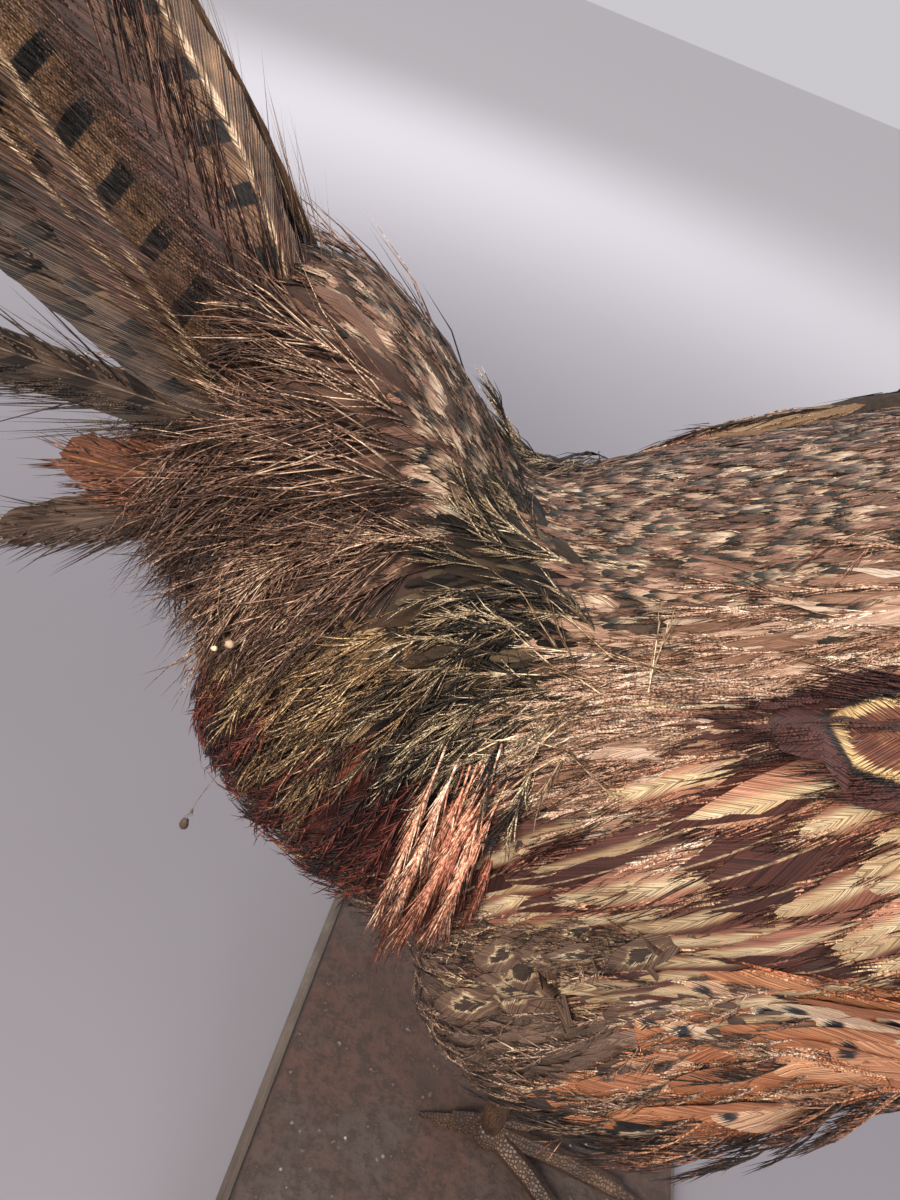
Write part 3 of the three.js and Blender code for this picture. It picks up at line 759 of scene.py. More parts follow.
def both_sides(name, roots, grow, material):
    """Makes a tract's feathers as one piece for the right side and one for the left."""
    for hand, mark in ((-1, "R"), (1, "L")):
        coat_piece(f"{name}_{mark}", grow(roots[roots[:, 1] * hand > 0]), material)


# The finish of every feather: its colour pattern, its own depth of tone, and the fine slanting
# lines of its barbs, painted darker as the shade in the grooves between them; they also roughen the surface.
barb_lines = bpy.data.node_groups.new("barb_lines", "ShaderNodeTree")
barb_lines.interface.new_socket("Map", in_out="INPUT", socket_type="NodeSocketVector")
for socket in ("Count", "Slant", "Shaft", "Seed"):
    barb_lines.interface.new_socket(socket, in_out="INPUT", socket_type="NodeSocketFloat")
for socket in ("Lines", "Streaks"):
    barb_lines.interface.new_socket(socket, in_out="OUTPUT", socket_type="NodeSocketFloat")
given = barb_lines.nodes.new("NodeGroupInput").outputs
leave = barb_lines.nodes.new("NodeGroupOutput").inputs
where, often, slant, shaft, seed = (Value(barb_lines, plug) for plug in given[:5])
off = (where.part(0) - shaft).size()
slide = (where.part(1) - off * slant) * often
drawn = wire(barb_lines, "ShaderNodeCombineXYZ", {0: slide, 1: off * 4.0, 2: seed * 91.0})
barb_lines.links.new((slide.maths("SINE") * 0.5 + 0.5).plug, leave["Lines"])
barb_lines.links.new(drawn.noise(0.16, 4.0, 0.75).plug, leave["Streaks"])


class Feather:
    """A feather material in the making: u runs across from 0 to 1 and v from root to tip,
    edge is 0 on the shaft and 1 at the rim, tone is each feather's own chance number,
    blot is soft noise and hair is fine noise drawn out along the barbs."""

    def __init__(self, name, roughness=0.7, **uniform):
        self.material, self.place = finish_of(name, roughness, **uniform)
        tree = self.place.tree
        chart = wire(tree, "ShaderNodeUVMap", {}, uv_map="vane")
        self.u = chart.part(0)
        self.v = chart.part(1)
        self.edge = (self.u * 2.0 - 1.0).size()
        self.tone = wire(tree, "ShaderNodeAttribute", {}, "Fac", attribute_name="tone")
        spread = wire(tree, "ShaderNodeCombineXYZ", {0: self.u, 1: self.v, 2: self.tone * 37.0})
        self.blot = spread.noise(4.0, 4.0, 0.6)
        fed = {"Map": chart, "Seed": self.tone}
        self.lines = wire(tree, "ShaderNodeGroup", fed, "Lines", node_tree=barb_lines)
        self.group = self.lines.plug.node
        self.streaks = Value(tree, self.group.outputs["Streaks"])
        self.hair = self.streaks - 0.5

    def lay_tone_dust_and_shade(self, colour, count=160.0, slant=0.8, dark=0.35, tones="8f8782 ffffff", shaft=0.5, worn=1.0):
        """Lays tone, dust, painted shade along the barb lines and hair streaks over the pattern and
        joins it to the shader. The hair streaks are partly the barbs' own colour, partly painted shade.
        """
        for socket, value in (("Count", count), ("Slant", slant), ("Shaft", shaft)):
            self.group.inputs[socket].default_value = value
        low, high = tones.split()
        dust = self.place.noise(60.0, 5.0).ramp("0.3 dcd6d0 0.65 ffffff")
        # Painted shade: the barb lines darken the colour as the shade in the grooves between the barbs.
        shadow = (self.lines * dark).ramp("0 ffffff 1 584c46")
        # Hair streaks: dark lines along the barbs, partly their own uneven colour and partly painted shade
        # between them.
        hairs = self.streaks.ramp("0.36 463a34 0.45 9a8c82 0.51 d2c8c0 0.58 ffffff")
        colour = colour.mix(1.0, self.tone.ramp(f"0 {low} 1 {high}"), "MULTIPLY")
        colour = colour.mix(1.0, dust, "MULTIPLY").mix(1.0, shadow, "MULTIPLY").mix(worn, hairs, "MULTIPLY")
        tree = colour.tree
        bright = wire(tree, "ShaderNodeVectorMath", {0: colour, "Scale": 1.35}, operation="SCALE")
        bright = wire(tree, "ShaderNodeVectorMath", {0: bright, 1: (0.88, 0.88, 0.88)}, operation="MINIMUM")
        cover(self.material, bright, self.hair * -3.0 + self.lines, 0.6, 0.00025, invert=True)
        return self.material


def dyed(name, roughness, stops, **look):
    """The finish of feathers whose colour goes only by each one's tone."""
    made = Feather(name, roughness)
    return made.lay_tone_dust_and_shade(made.tone.ramp(stops), **look)

# ---------------------------------------------------------------- rump and tail coverts
# The feathers round the tail root are hair-like: thin dull vanes under long loose barbs.
# The upper ones are pinkish brown and sweep outwards over the tail, the lower ones olive.
def off_tail(points):
    """Leaves out the blunt end of the tail root, where the tail feathers come out."""
    return skin_normals[near_skin(points)] @ TAIL_WAY < 0.45


hairy = Feather("pinkish_brown_barbs", 0.6)
colour = hairy.tone.ramp("0 775a4d 0.3 aa8472 0.65 cba28b 1 eed0b2").mix(hairy.v.step(0.5, 0.05), "6f5a4a")
hairy_paint = hairy.lay_tone_dust_and_shade(colour, count=420, dark=0.4)
downy_piece("tail_side_coverts", "tail_hair tail_side", hairy_paint,
            0.0042, dict(reach=0.024, half=0.0014, rise=0.0014, jag=0.3, yaw=0.3),
            0.0047, dict(reach=0.042, each=32, spread=0.36, share=0.55, thick=0.00018, half=0.006, rise=0.004,
                         fuzz=0.16, yaw=0.28, follow=0.45, turn=0.12), off_tail, (0, 0.6))

ridge = Feather("ridge_covert_barbs", 0.6)
bars = (ridge.v * 26.0 + ridge.tone * 6.0).maths("SINE").step(0.2, 0.7) * 0.5
colour = ridge.tone.ramp("0 6a564a 0.4 a88a70 0.75 cba784 1 eed0a8").mix(bars, "2e2620")
downy_piece("tail_ridge_coverts", "tail_ridge", ridge.lay_tone_dust_and_shade(colour, count=420, dark=0.4),
            0.0038, dict(reach=0.018, half=0.0013, rise=0.0004, jag=0.3, yaw=0.15, follow=1.0),
            0.0044, dict(reach=0.034, each=30, spread=0.2, share=0.45, thick=0.00016, half=0.005, rise=0.0006,
                         lift=0.02, fuzz=0.06, yaw=0.1, follow=1.0), off_tail)

olive = Feather("olive_rump_barbs", 0.6)
bars = (olive.v * 34.0).maths("SINE") * 0.5 + 0.5
near_root = olive.v.step(0.62, 0.45) * olive.tone.step(0.35, 0.55)
colour = olive.tone.ramp("0 7d6650 0.4 b4926c 0.75 d2b082 1 eed3a4")
colour = colour.mix(near_root, bars.ramp("0.4 2a241f 0.6 c8a374"))
downy_piece("olive_rump_plumes", "olive", olive.lay_tone_dust_and_shade(colour, count=420, dark=0.4),
            0.0042, dict(reach=0.02, half=0.0011, rise=0.0016, jag=0.3, yaw=0.3),
            0.0052, dict(reach=0.03, each=30, spread=0.3, share=0.5, thick=0.00017, half=0.006, rise=0.0035,
                         fuzz=0.15, yaw=0.25, follow=0.55, turn=0.15))

dark_paint = dyed("dark_rump_barbs", 0.55, "0 2e2823 0.35 5f5344 0.6 a08f74 0.8 d8c49e 1 f0dfbc", count=400,
                  dark=0.4)
downy_piece("dark_rump_plumes", "whorl whorl_up", dark_paint,
            0.003, dict(reach=0.016, half=0.0009, rise=0.0014, jag=0.3, yaw=0.5),
            0.0042, dict(reach=0.019, each=24, spread=0.28, share=0.5, thick=0.00017, half=0.005, rise=0.004,
                         lift=0.12, fuzz=0.2, yaw=0.6, follow=0.5, turn=0.2), dull=(0, 0.6))

# ---------------------------------------------------------------- side of the rump, vent and belly
# Deep maroon-red loose feathers cover the side of the rump, brown-orange ones the vent,
# and one tuft of salmon barbs hangs free below the folded wing. The belly is dark down.
maroon_paint = dyed("maroon_barbs", 0.6, "0 2e1210 0.45 5c261d 0.8 7c382b 1 94503e", count=180, dark=0.3)
downy_piece("maroon_side_plumes", "maroon salmon", maroon_paint,
            0.0045, dict(reach=0.026, half=0.0026, jag=0.2, yaw=0.2),
            0.0058, dict(reach=0.03, each=26, spread=0.42, share=0.4, thick=0.00017, half=0.007, rise=0.005,
                         lift=0.15, fuzz=0.16, yaw=0.3, follow=0.5))

vent_paint = dyed("brown_vent_barbs", 0.65, "0 33201a 0.45 66402c 0.8 94603c 1 b98a5c", count=180, dark=0.3)
downy_piece("vent_plumes", "vent", vent_paint,
            0.005, dict(reach=0.026, half=0.003, jag=0.2, yaw=0.25),
            0.0085, dict(reach=0.028, each=22, spread=0.45, share=0.4, thick=0.00017, half=0.007, rise=0.005,
                         lift=0.12, fuzz=0.16, yaw=0.3, follow=0.5))

salmon_paint = dyed("salmon_barbs", 0.6, "0 b46a54 0.5 e8a488 0.85 f6c4a6 1 fad6be", count=180, dark=0.15,
                    tones="d8d0ca ffffff")
TUFT = np.array([-0.0555, -0.0545, 0.1965])
TUFT_SHAFTS = 30
hang = unit(np.array([0.02, -0.13, -1.0]) + rng.normal(0, 0.08, (TUFT_SHAFTS, 3)))
reach = rng.uniform(0.03, 0.042, TUFT_SHAFTS)
tops = TUFT + rng.normal(0, 0.0032, hang.shape)
place = tops[:, None] + hang[:, None] * (reach[:, None] * LONG)[..., None]
place[..., 1] -= 0.003 * np.sin(np.pi * np.array(LONG))
outward = np.broadcast_to(unit(np.array([-0.35, -0.93, 0.0])), place.shape)
way = np.broadcast_to(hang[:, None], place.shape)
tone = rng.random(TUFT_SHAFTS)
laid = (LONG, place, outward, way, reach, np.full(TUFT_SHAFTS, 0.006), np.zeros(len(LONG)), tone)
loose = [shafts(laid, 0.0003), barbs(laid, 60, 0.12, 0.5, 0.00018, lift=0.05, fuzz=0.06)]
coat_piece("salmon_tuft", loose, salmon_paint)

belly_paint = dyed("dark_belly_down", 0.8, "0 1c1511 0.5 3a2b24 0.85 594439 1 86705c", count=120, dark=0.25)
downy_piece("belly_down", "belly", belly_paint,
            0.0052, dict(reach=0.022, half=0.003, jag=0.25, yaw=0.3),
            0.0085, dict(reach=0.026, each=20, spread=0.5, share=0.42, thick=0.00017, half=0.007, rise=0.005,
                         fuzz=0.2, yaw=0.4, follow=0.5, joints=1))

# Along the lower edge of the flanks the belly feathers have come loose and hang down as a
# dark frayed fringe.
def low_edge(p):
    """The underside of each flank, ahead of the legs, where the skin faces down."""
    down = skin_normals[near_skin(p)][:, 2] < -0.12
    return down & (abs(p[:, 1]) > 0.036) & (p[:, 0] > 0.014) & (p[:, 0] < 0.088) & (p[:, 2] < 0.165)


fringe_paint = dyed("belly_fringe_barbs", 0.7, "0 2a1f1a 0.4 553c2f 0.75 946650 1 cc9a76", dark=0.25)
roots = roots_in("belly flank thigh breast", 0.0062, low_edge)
down_way = np.where(roots[:, 1:2] < 0, [[-0.62, -0.12, -0.77]], [[-0.62, 0.12, -0.77]])
loose = plumes(roots, 0.024, 28, 0.4, 0.42, 0.00018, 0.006, rise=0.008, fuzz=0.16, follow=0.3, turn=0.0,
               way=down_way, yaw=0.3, joints=1)
coat_piece("belly_fringe", loose, fringe_paint)

# ---------------------------------------------------------------- lower back
# Small narrow pointed feathers lie close on the lower back. Each is brown grey, some with
# a cream patch before a dark green tip, so the whole back looks mottled in broken rows.
back = Feather("mottled_back_vane", 0.6)
wavy = back.hair * 1.1 + (back.blot * 0.35 + back.v)
patched = back.tone.step(0.3, 0.4)
band = wavy.step(0.62, 0.7) * wavy.step(0.9, 0.82) * back.edge.step(0.05, 0.2) * patched
colour = back.tone.ramp("0 7e604e 0.3 c8a08c 0.5 5a4a3e 0.7 deb8a0 0.85 545a4e 1 f0d2ba")
colour = colour.mix(band, back.blot.ramp("0.35 ecd0b0 0.6 fff0d4"))
colour = colour.mix(wavy.step(0.94, 1.02) * patched, "2c2e2a")
back_paint = back.lay_tone_dust_and_shade(colour, count=110, dark=0.3, tones="c4bab2 ffffff")


def back_feathers(roots):
    """Small narrow vanes, each under a fringe of fine straight barbs."""
    web = dict(reach=0.016, half=0.0014, jag=0.35, yaw=0.22, rise=0.0008, blunt=0.35, tip=(1.2, 0.9))
    return webbed(roots, [0.0, 0.22, 0.5, 0.75, 0.92], web,
                  dict(each=12, spread=0.12, reach_share=0.45, thick=0.00016, span=(0.05, 0.9),
                       begin=(0.1, 0.9), lift=0.04, fuzz=0.07))


roots = roots_in("lower_back saddle", 0.0027)
both_sides("lower_back_feathers", roots, back_feathers, back_paint)

bases_paint = dyed("pale_feather_bases", 0.7, "0 c49c86 0.4 e8c2a8 0.75 fad6be 1 ffecd8", count=300,
                   dark=0.25, tones="c8beb6 ffffff")
downy_piece("pale_feather_bases", "pale_bases", bases_paint,
            0.0032, dict(reach=0.024, half=0.0013, jag=0.3, yaw=0.28, rise=0.0012, tip=(1.5, 0.8)),
            0.0038, dict(reach=0.026, each=34, spread=0.2, share=0.4, thick=0.0002, half=0.007, rise=0.002,
                         lift=0.05, fuzz=0.1, yaw=0.35, joints=1))

# ---------------------------------------------------------------- scapulars and wing coverts
# Long pointed feathers lie over the folded wing. Each has a cream stripe along its middle,
# maroon webs whose loose barbs fray into the next feather, and a grey downy base.
scapular = Feather("maroon_and_cream_vane", 0.55)
wavy = scapular.hair * 1.3 + (scapular.blot * 0.2 + scapular.edge)
stripe = wavy.step(0.42, 0.32) * scapular.tone.step(0.25, 0.3)
colour = scapular.tone.ramp("0 55302a 0.4 804e42 0.7 ac7460 1 dca488").mix(wavy.step(0.75, 0.95), "59382f")
colour = colour.mix(stripe, scapular.blot.ramp("0.3 ecca98 0.6 fff0c8"))
colour = colour.mix((scapular.blot * 0.25 + scapular.v).step(0.5, 0.32), "9a8674")
colour = colour.mix(scapular.edge.step(0.045, 0.02), "e9d3ae")
scapular_paint = scapular.lay_tone_dust_and_shade(colour, count=560, dark=0.25, tones="d4ccc6 ffffff")


def scapular_feathers(roots):
    """Long narrow pointed vanes, whose outer barbs come apart into fine hairs. They are
    shorter towards the rump and along the upper edge."""
    reach = np.interp(roots[:, 0], [-0.05, -0.01], [0.026, 0.058])
    reach = reach * np.where(roots[:, 2] > 0.232, 0.62, 1.0)
    web = dict(reach=reach, half=0.0056, section=FULL, jag=0.1, yaw=0.16, rise=0.002, blunt=0.15, turn=0.3,
               follow=0.9, camber=0.15, tip=(1.5, 0.8))
    return webbed(roots, FINE[::2], web,
                  dict(each=84, spread=0.2, reach_share=0.28, thick=0.0002, span=(0.05, 0.97),
                       begin=(0.3, 1.0), lift=0.03, fuzz=0.06))


roots = roots_in("scapular", 0.0068)
both_sides("scapular_feathers", roots, scapular_feathers, scapular_paint)

covert = Feather("wing_covert_vane", 0.6)
wavy = covert.hair * 0.9 + (covert.blot * 0.3 + covert.edge)
colour = covert.tone.ramp("0 5c4234 0.5 7a5a48 1 9a7a62")
colour = colour.mix(wavy.step(0.72, 0.9), "6e3626").mix(wavy.step(0.45, 0.3), "c8aa84")
covert_paint = covert.lay_tone_dust_and_shade(colour, count=130)
made = webbed(roots_in("wing_covert", 0.0058), FINE[::2],
              dict(reach=0.027, half=0.0068, jag=0.08, yaw=0.12, rise=0.0018),
              dict(each=24, spread=0.26, reach_share=0.25, thick=0.00017, span=(0.1, 0.95), begin=(0.3, 1.0),
                   lift=0.03, fuzz=0.06))
coat_piece("wing_covert_feathers", made, covert_paint)

straw_paint = dyed("straw_feather_edges", 0.65, "0 4a382c 0.4 8a6e56 0.75 bf9f7c 1 ecd2ac", count=480,
                   dark=0.3)
made = webbed(roots_in("straw", 0.0038), FINE[::2],
              dict(reach=0.05, half=0.0013, jag=0.2, yaw=0.14, rise=0.0024, follow=0.85, tip=(1.2, 0.9)),
              dict(each=30, spread=0.14, reach_share=0.3, thick=0.0002, span=(0.05, 0.97), begin=(0.2, 1.0),
                   lift=0.05, fuzz=0.08))
coat_piece("straw_wing_edge", made, straw_paint)

# One broad maroon feather near the shoulder carries a cream horseshoe edged with black. The
# mark goes by the distance from the feather's middle line and its middle.
marked = Feather("cream_horseshoe_vane", 0.55)
past_middle = (marked.v - 0.45).maths("MAXIMUM") * 2.1
bow = (marked.edge * marked.edge + past_middle * past_middle).maths("SQRT")
bow = marked.hair * 0.35 + bow
colour = marked.blot.ramp("0.3 4a2a22 0.5 7a4a38 0.6 a87f5c").mix(bow.step(0.46, 0.5), "e0c490")
colour = colour.mix(bow.step(0.58, 0.62), "241a17").mix(bow.step(0.68, 0.74), "56302a")
marked_paint = marked.lay_tone_dust_and_shade(colour, count=420, dark=0.3, tones="ffffff ffffff")
made = webbed(np.array([[0.0072, -0.0685, 0.2475]]), FINE,
              dict(reach=0.035, half=0.0108, section=FULL, jag=0.04, yaw=0.0, rise=0.0036, blunt=0.45,
                   follow=0.9, turn=0.0, way=np.array([[-0.9, -0.05, -0.35]]), camber=0.15),
              dict(each=240, spread=0.22, reach_share=0.32, thick=0.0002, span=(0.1, 0.97), begin=(0.5, 1.0),
                   lift=0.03, fuzz=0.06))
coat_piece("horseshoe_feather", made, marked_paint)

# Worn barbs have come loose: cream straws lie across the base of the wing, and short
# reddish ones over the side of the back.
def close_to(middle, size):
    """A rule that keeps the points less than a size away from a middle."""
    return lambda p: ((p - np.array(middle)) ** 2).sum(1) < size**2


EVERYWHERE = " ".join(TRACT_NAMES)
straws_paint = dyed("stray_straw", 0.6, "0 a98c6c 0.5 e0c49c 1 fae6c2", count=60, dark=0.2)
roots = roots_in(EVERYWHERE, 0.0042, close_to((-0.043, -0.048, 0.214), 0.0115))
loose = plumes(roots, 0.016, 8, 0.2, 0.4, 0.00014, 0.003, rise=0.0045, fuzz=0.1, shaft=0.00032, yaw=1.2,
               follow=0.6, turn=0.0)
coat_piece("stray_straws", loose, straws_paint)

reddish_paint = dyed("stray_reddish_barb", 0.5, "0 8c5040 0.5 c88a74 1 f0cdb4", count=60, dark=0.2)
roots = roots_in(EVERYWHERE, 0.0024, close_to((-0.010, -0.024, 0.258), 0.0048))
loose = plumes(roots, 0.015, 12, 0.16, 0.4, 0.00013, 0.002, rise=0.002, fuzz=0.08, shaft=0.00022, yaw=0.35,
               follow=0.9, turn=0.0, way=np.array([[-0.5, -0.8, -0.3]]))
coat_piece("stray_reddish_barbs", loose, reddish_paint)

# ---------------------------------------------------------------- flanks and thighs
# Flank feathers are long and coppery orange, some with a blue-black spot near the tip. The
# thigh wears soft grey-brown down, crossed by a loose net of cream feather edges.
flank = Feather("copper_flank_vane", 0.5)
along_spot = flank.hair * 5.0 + (flank.blot * 1.6 + (flank.v * 24.0 - 22.4))
across_spot = flank.hair * 3.0 + flank.edge * 3.0
spot = (along_spot * along_spot + across_spot * across_spot).step(1.2, 0.7) * flank.tone.step(0.5, 0.52)
forward_part = flank.place.part(0).step(0.052, 0.085)
colour = flank.tone.ramp("0 dc9466 0.45 fab484 0.8 ffd0aa 1 ffe6cc")
colour = colour.mix(flank.edge.step(0.5, 1.0), "cc8056")
colour = colour.mix(flank.v.step(0.4, 0.1), "a08068").mix(forward_part, "b0683c")
flank_paint = flank.lay_tone_dust_and_shade(colour.mix(spot, "1d222e"), count=560, dark=0.25, tones="dcd4ce ffffff")
made = webbed(roots_in("flank", 0.0085), FINE,
              dict(reach=0.046, half=0.009, section=FULL, jag=0.05, yaw=0.14, blunt=0.35, follow=0.85,
                   tip=(2.0, 0.6)),
              dict(each=110, spread=0.2, reach_share=0.28, thick=0.00022, span=(0.05, 0.97), begin=(0.1, 1.0),
                   lift=0.03, fuzz=0.05))
coat_piece("flank_feathers", made, flank_paint)

down = Feather("thigh_down", 0.8)
wavy = down.hair * 0.6 + (down.edge * 0.15 + down.v)
net = wavy.step(0.82, 0.85) * wavy.step(0.95, 0.92) * down.tone.step(0.8, 0.84)
colour = down.tone.ramp("0 766356 0.45 a08474 0.8 c4a690 1 dcc0a8").mix(net, "dcc7a2")
downy_piece("thigh_down", "thigh", down.lay_tone_dust_and_shade(colour, count=200),
            0.0044, dict(reach=0.014, half=0.0013, jag=0.3, yaw=0.35),
            0.0068, dict(reach=0.018, each=32, spread=0.5, share=0.36, thick=0.00015, half=0.006, rise=0.004,
                         lift=0.12, fuzz=0.25, yaw=0.6, follow=0.6, joints=1), dull=(0.25, 0.6))

# A few broader feathers lie over the down. Each has a cream diamond-shaped ring round a
# dark middle, and together they look like a loose net.
net = Feather("netted_thigh_vane", 0.75)
lozenge = net.hair + (net.blot * 1.6 + ((net.v - 0.6).size() * 2.2 + net.edge))
colour = lozenge.step(1.2, 1.28).ramp("0 4a3a30 1 e2cda8").mix(lozenge.step(1.36, 1.44), "7c6454")
net_paint = net.lay_tone_dust_and_shade(colour, count=330, dark=0.2, tones="e0dad4 ffffff")
roots = np.array([(-23, 66, 181), (-29, 64, 162), (-14, 70, 190), (-12, 68, 174), (-19, 67, 149),
                  (-29, 62, 142), (-21, 68, 168), (-26, 66, 155), (-17, 70, 183), (-33, 60, 170)])
roots = roots * (0.001, -0.001, 0.001)
made = webbed(np.concatenate([roots, roots * (1, -1, 1)]), FINE[::2],
              dict(reach=0.02, half=0.0046, section=FULL, jag=0.16, yaw=0.4, rise=0.0048, follow=0.85,
                   tip=(1.6, 0.8)),
              dict(each=90, spread=0.4, reach_share=0.4, thick=0.00015, span=(0.1, 0.95), begin=(0.3, 1.0),
                   lift=0.06, fuzz=0.15))
coat_piece("netted_thigh_feathers", made, net_paint)

# ---------------------------------------------------------------- breast, mantle and neck
# The breast is coppery purple with a dark notch on each tip, the mantle golden with black
# marks. A white ring parts them from the short glossy green feathers of the neck and head.
BODY_FRINGE = dict(each=12, spread=0.26, reach_share=0.3, thick=0.0002, span=(0.2, 0.95), begin=(0.3, 1.0),
                   lift=0.02, fuzz=0.05)
breast = Feather("copper_breast_vane", 0.42, Metallic=0.15)
notch = (breast.hair * 0.3 + (breast.edge * 0.12 + breast.v)).step(0.93, 0.98)
colour = breast.tone.ramp("0 6e3019 0.5 91451f 1 ad5f2c").mix(breast.edge.step(0.5, 0.95), "c07a38")
breast_paint = breast.lay_tone_dust_and_shade(colour.mix(notch, "1c1016"), count=200, dark=0.3, tones="b8aca4 ffffff")
web = dict(reach=0.024, half=0.0074, jag=0.06, yaw=0.1, rise=0.0016, blunt=0.55)
coat_piece("breast_feathers", webbed(roots_in("breast", 0.0066), FINE[::2], web, BODY_FRINGE), breast_paint)

mantle = Feather("golden_mantle_vane", 0.45, Metallic=0.1)
wavy = mantle.hair * 0.6 + (mantle.blot * 0.2 + mantle.edge)
colour = mantle.tone.ramp("0 9c5a24 0.5 b8782f 1 cf9a50").mix(wavy.step(0.75, 0.6), "e0c591")
colour = colour.mix(wavy.step(0.42, 0.3) * mantle.v.step(0.5, 0.6), "231a16")
colour = colour.mix(mantle.v.step(0.94, 0.98), "3a2218")
mantle_paint = mantle.lay_tone_dust_and_shade(colour, count=180, dark=0.3, tones="b8aca4 ffffff")
web = dict(reach=0.02, half=0.006, jag=0.06, yaw=0.1, rise=0.0016)
coat_piece("mantle_feathers", webbed(roots_in("mantle", 0.0052), FINE[::2], web, BODY_FRINGE), mantle_paint)

NECK = [0.0, 0.3, 0.6, 0.85]
EYE_X, EYE_Z = 0.158, 0.417
NECK_TIP = (1.8, 0.7)
collar_paint = dyed("white_collar_vane", 0.65, "0 cfc8ba 1 f3efe6", count=260, dark=0.05,
                    tones="e4e0da ffffff", worn=0.25)
roots = roots_in("collar", 0.0026)
under, _ = vanes(roots, 0.014, 0.002, NECK, yaw=0.14, rise=0.0008, sink=0.0008, tip=NECK_TIP)
coat_piece("collar_feathers", [under], collar_paint)

hackle = Feather("green_hackle_vane", 0.3, Metallic=0.45)
sheen = hackle.place.noise(24.0, 3.0).step(0.48, 0.62)
crown = hackle.place.part(2).step(0.421, 0.429) * 0.8
colour = hackle.tone.ramp("0 0a1c18 0.4 12382a 0.7 14463c 1 1c3a5c").mix(sheen, "2a2050")
colour = colour.mix(crown, hackle.tone.ramp("0.2 1f2a1a 0.8 4a4a2c"))
hackle_paint = hackle.lay_tone_dust_and_shade(colour, count=240, dark=0.15, tones="b8b8b8 ffffff", worn=0.5)


def bare_place(p):
    """Whether each point lies on the bare red face: a round patch below and round the eye,
    drawn out towards the bill and to a lobe behind, in millimetres from the eye."""
    x, z = (p[:, 0] - EYE_X) * 1000, (p[:, 2] - EYE_Z) * 1000
    patch = ((x + 1) / 11.6) ** 2 + ((z + 3) / 9.6) ** 2
    lobe = ((x + 9) / 5.0) ** 2 + ((z + 5) / 3.5) ** 2
    return (np.minimum(patch, lobe) < 1) & (abs(p[:, 1]) > 0.004)


def on_face(p):
    """The feathered part of the head, round the bare face and behind the bill."""
    return (along_spine(p)[0] >= 0.855) & (p[:, 0] < 0.174) & ~bare_place(p)


roots = roots_in("hackle", 0.0026, lambda p: along_spine(p)[0] < 0.87)
under, _ = vanes(roots, 0.0145, 0.0018, NECK, jag=0.1, yaw=0.12, rise=0.0006, sink=0.0008, tip=NECK_TIP)
roots = roots_in("hackle", 0.0015, on_face)
small, _ = vanes(roots, 0.0062, 0.001, [0.0, 0.4, 0.8], jag=0.1, rise=0.0003, sink=0.0006, thick=0.0002,
                 tip=NECK_TIP)
coat_piece("neck_and_head_feathers", [under, small], hackle_paint)

# ---------------------------------------------------------------- dust and a lost feather
# Cream crumbs are caught in the rump feathers, and one tiny down feather hangs from a
# thread below the vent. Each is a small ring-built lump: a stretched ball with noise.
def lumps(centres, size, stretch, rough):
    """Small closed balls: rings whose radius follows a half circle, stretched downwards."""
    count = len(centres)
    around = np.linspace(0, -2 * np.pi, 7, endpoint=False)
    polar = np.linspace(0.3, 2.8, 5)
    wide = np.sin(polar)[:, None] * size[:, None, None] * rng.uniform(1 - rough, 1 + rough, (count, 5, 7))
    high = np.broadcast_to(np.cos(polar)[:, None] * size[:, None, None] * stretch, wide.shape)
    rings = np.stack([wide * np.cos(around), wide * np.sin(around), high], axis=-1) + centres[:, None, None]
    low = centres - np.array([0, 0, 1.0]) * size[:, None] * stretch
    flat = np.full((count, 5, 7, 2), 0.5)
    return ring_mesh(rings, low, flat, np.full((count, 2), 0.5), bake_place(centres), rng.random(count))


crumb_paint = dyed("dried_crumb", 0.8, "0 b59c7c 1 e6d6b8", count=20, dark=0.1)
near = np.repeat([[-0.1235, -0.014, 0.172], [-0.1115, -0.035, 0.182], [-0.118, -0.026, 0.177]], 4, axis=0)
near = near + rng.normal(0, 0.0018, near.shape)
crumbs = lumps(near, rng.uniform(0.0006, 0.0013, 12), 0.9, 0.3)
coat_piece("dried_crumbs", [crumbs], crumb_paint)
lost_paint = dyed("lost_down_feather", 0.7, "0 7a6a5c 1 a89884", count=40, dark=0.2)
hang = np.array([[-0.1035, -0.037, 0.153], [-0.1055, -0.0395, 0.147], [-0.1075, -0.041, 0.140],
                 [-0.109, -0.042, 0.133]])[None]
outward = np.broadcast_to([0.0, -1.0, 0.0], hang.shape)
downward = np.broadcast_to([0.0, 0.0, -1.0], hang.shape)
laid = ([0, 0.33, 0.67, 1.0], hang, outward, downward, np.full(1, 0.02), np.full(1, 0.002), np.zeros(4),
        np.full(1, 0.5))
lost = [shafts(laid, 0.00016)]
lost.append(lumps(hang[:, -1] - np.array([[0, 0, 0.0014]]), np.full(1, 0.0011), 1.7, 0.1))
lost.append(barbs(laid, 20, 0.5, 0.15, 0.0001, (0.8, 0.99), joints=1))
coat_piece("lost_feather", lost, lost_paint)

# ---------------------------------------------------------------- tail
# Seven long feathers a side slope away from the ridge of the tail like a roof. They are
# buff with black bars, and the barbs of the outer edges come apart into purplish hairs.
TAIL_ROOT = np.array([-0.084, 0.0, 0.210])
ROOF = np.radians(58)
BAR_STEP = 0.011
LONGEST = 0.455


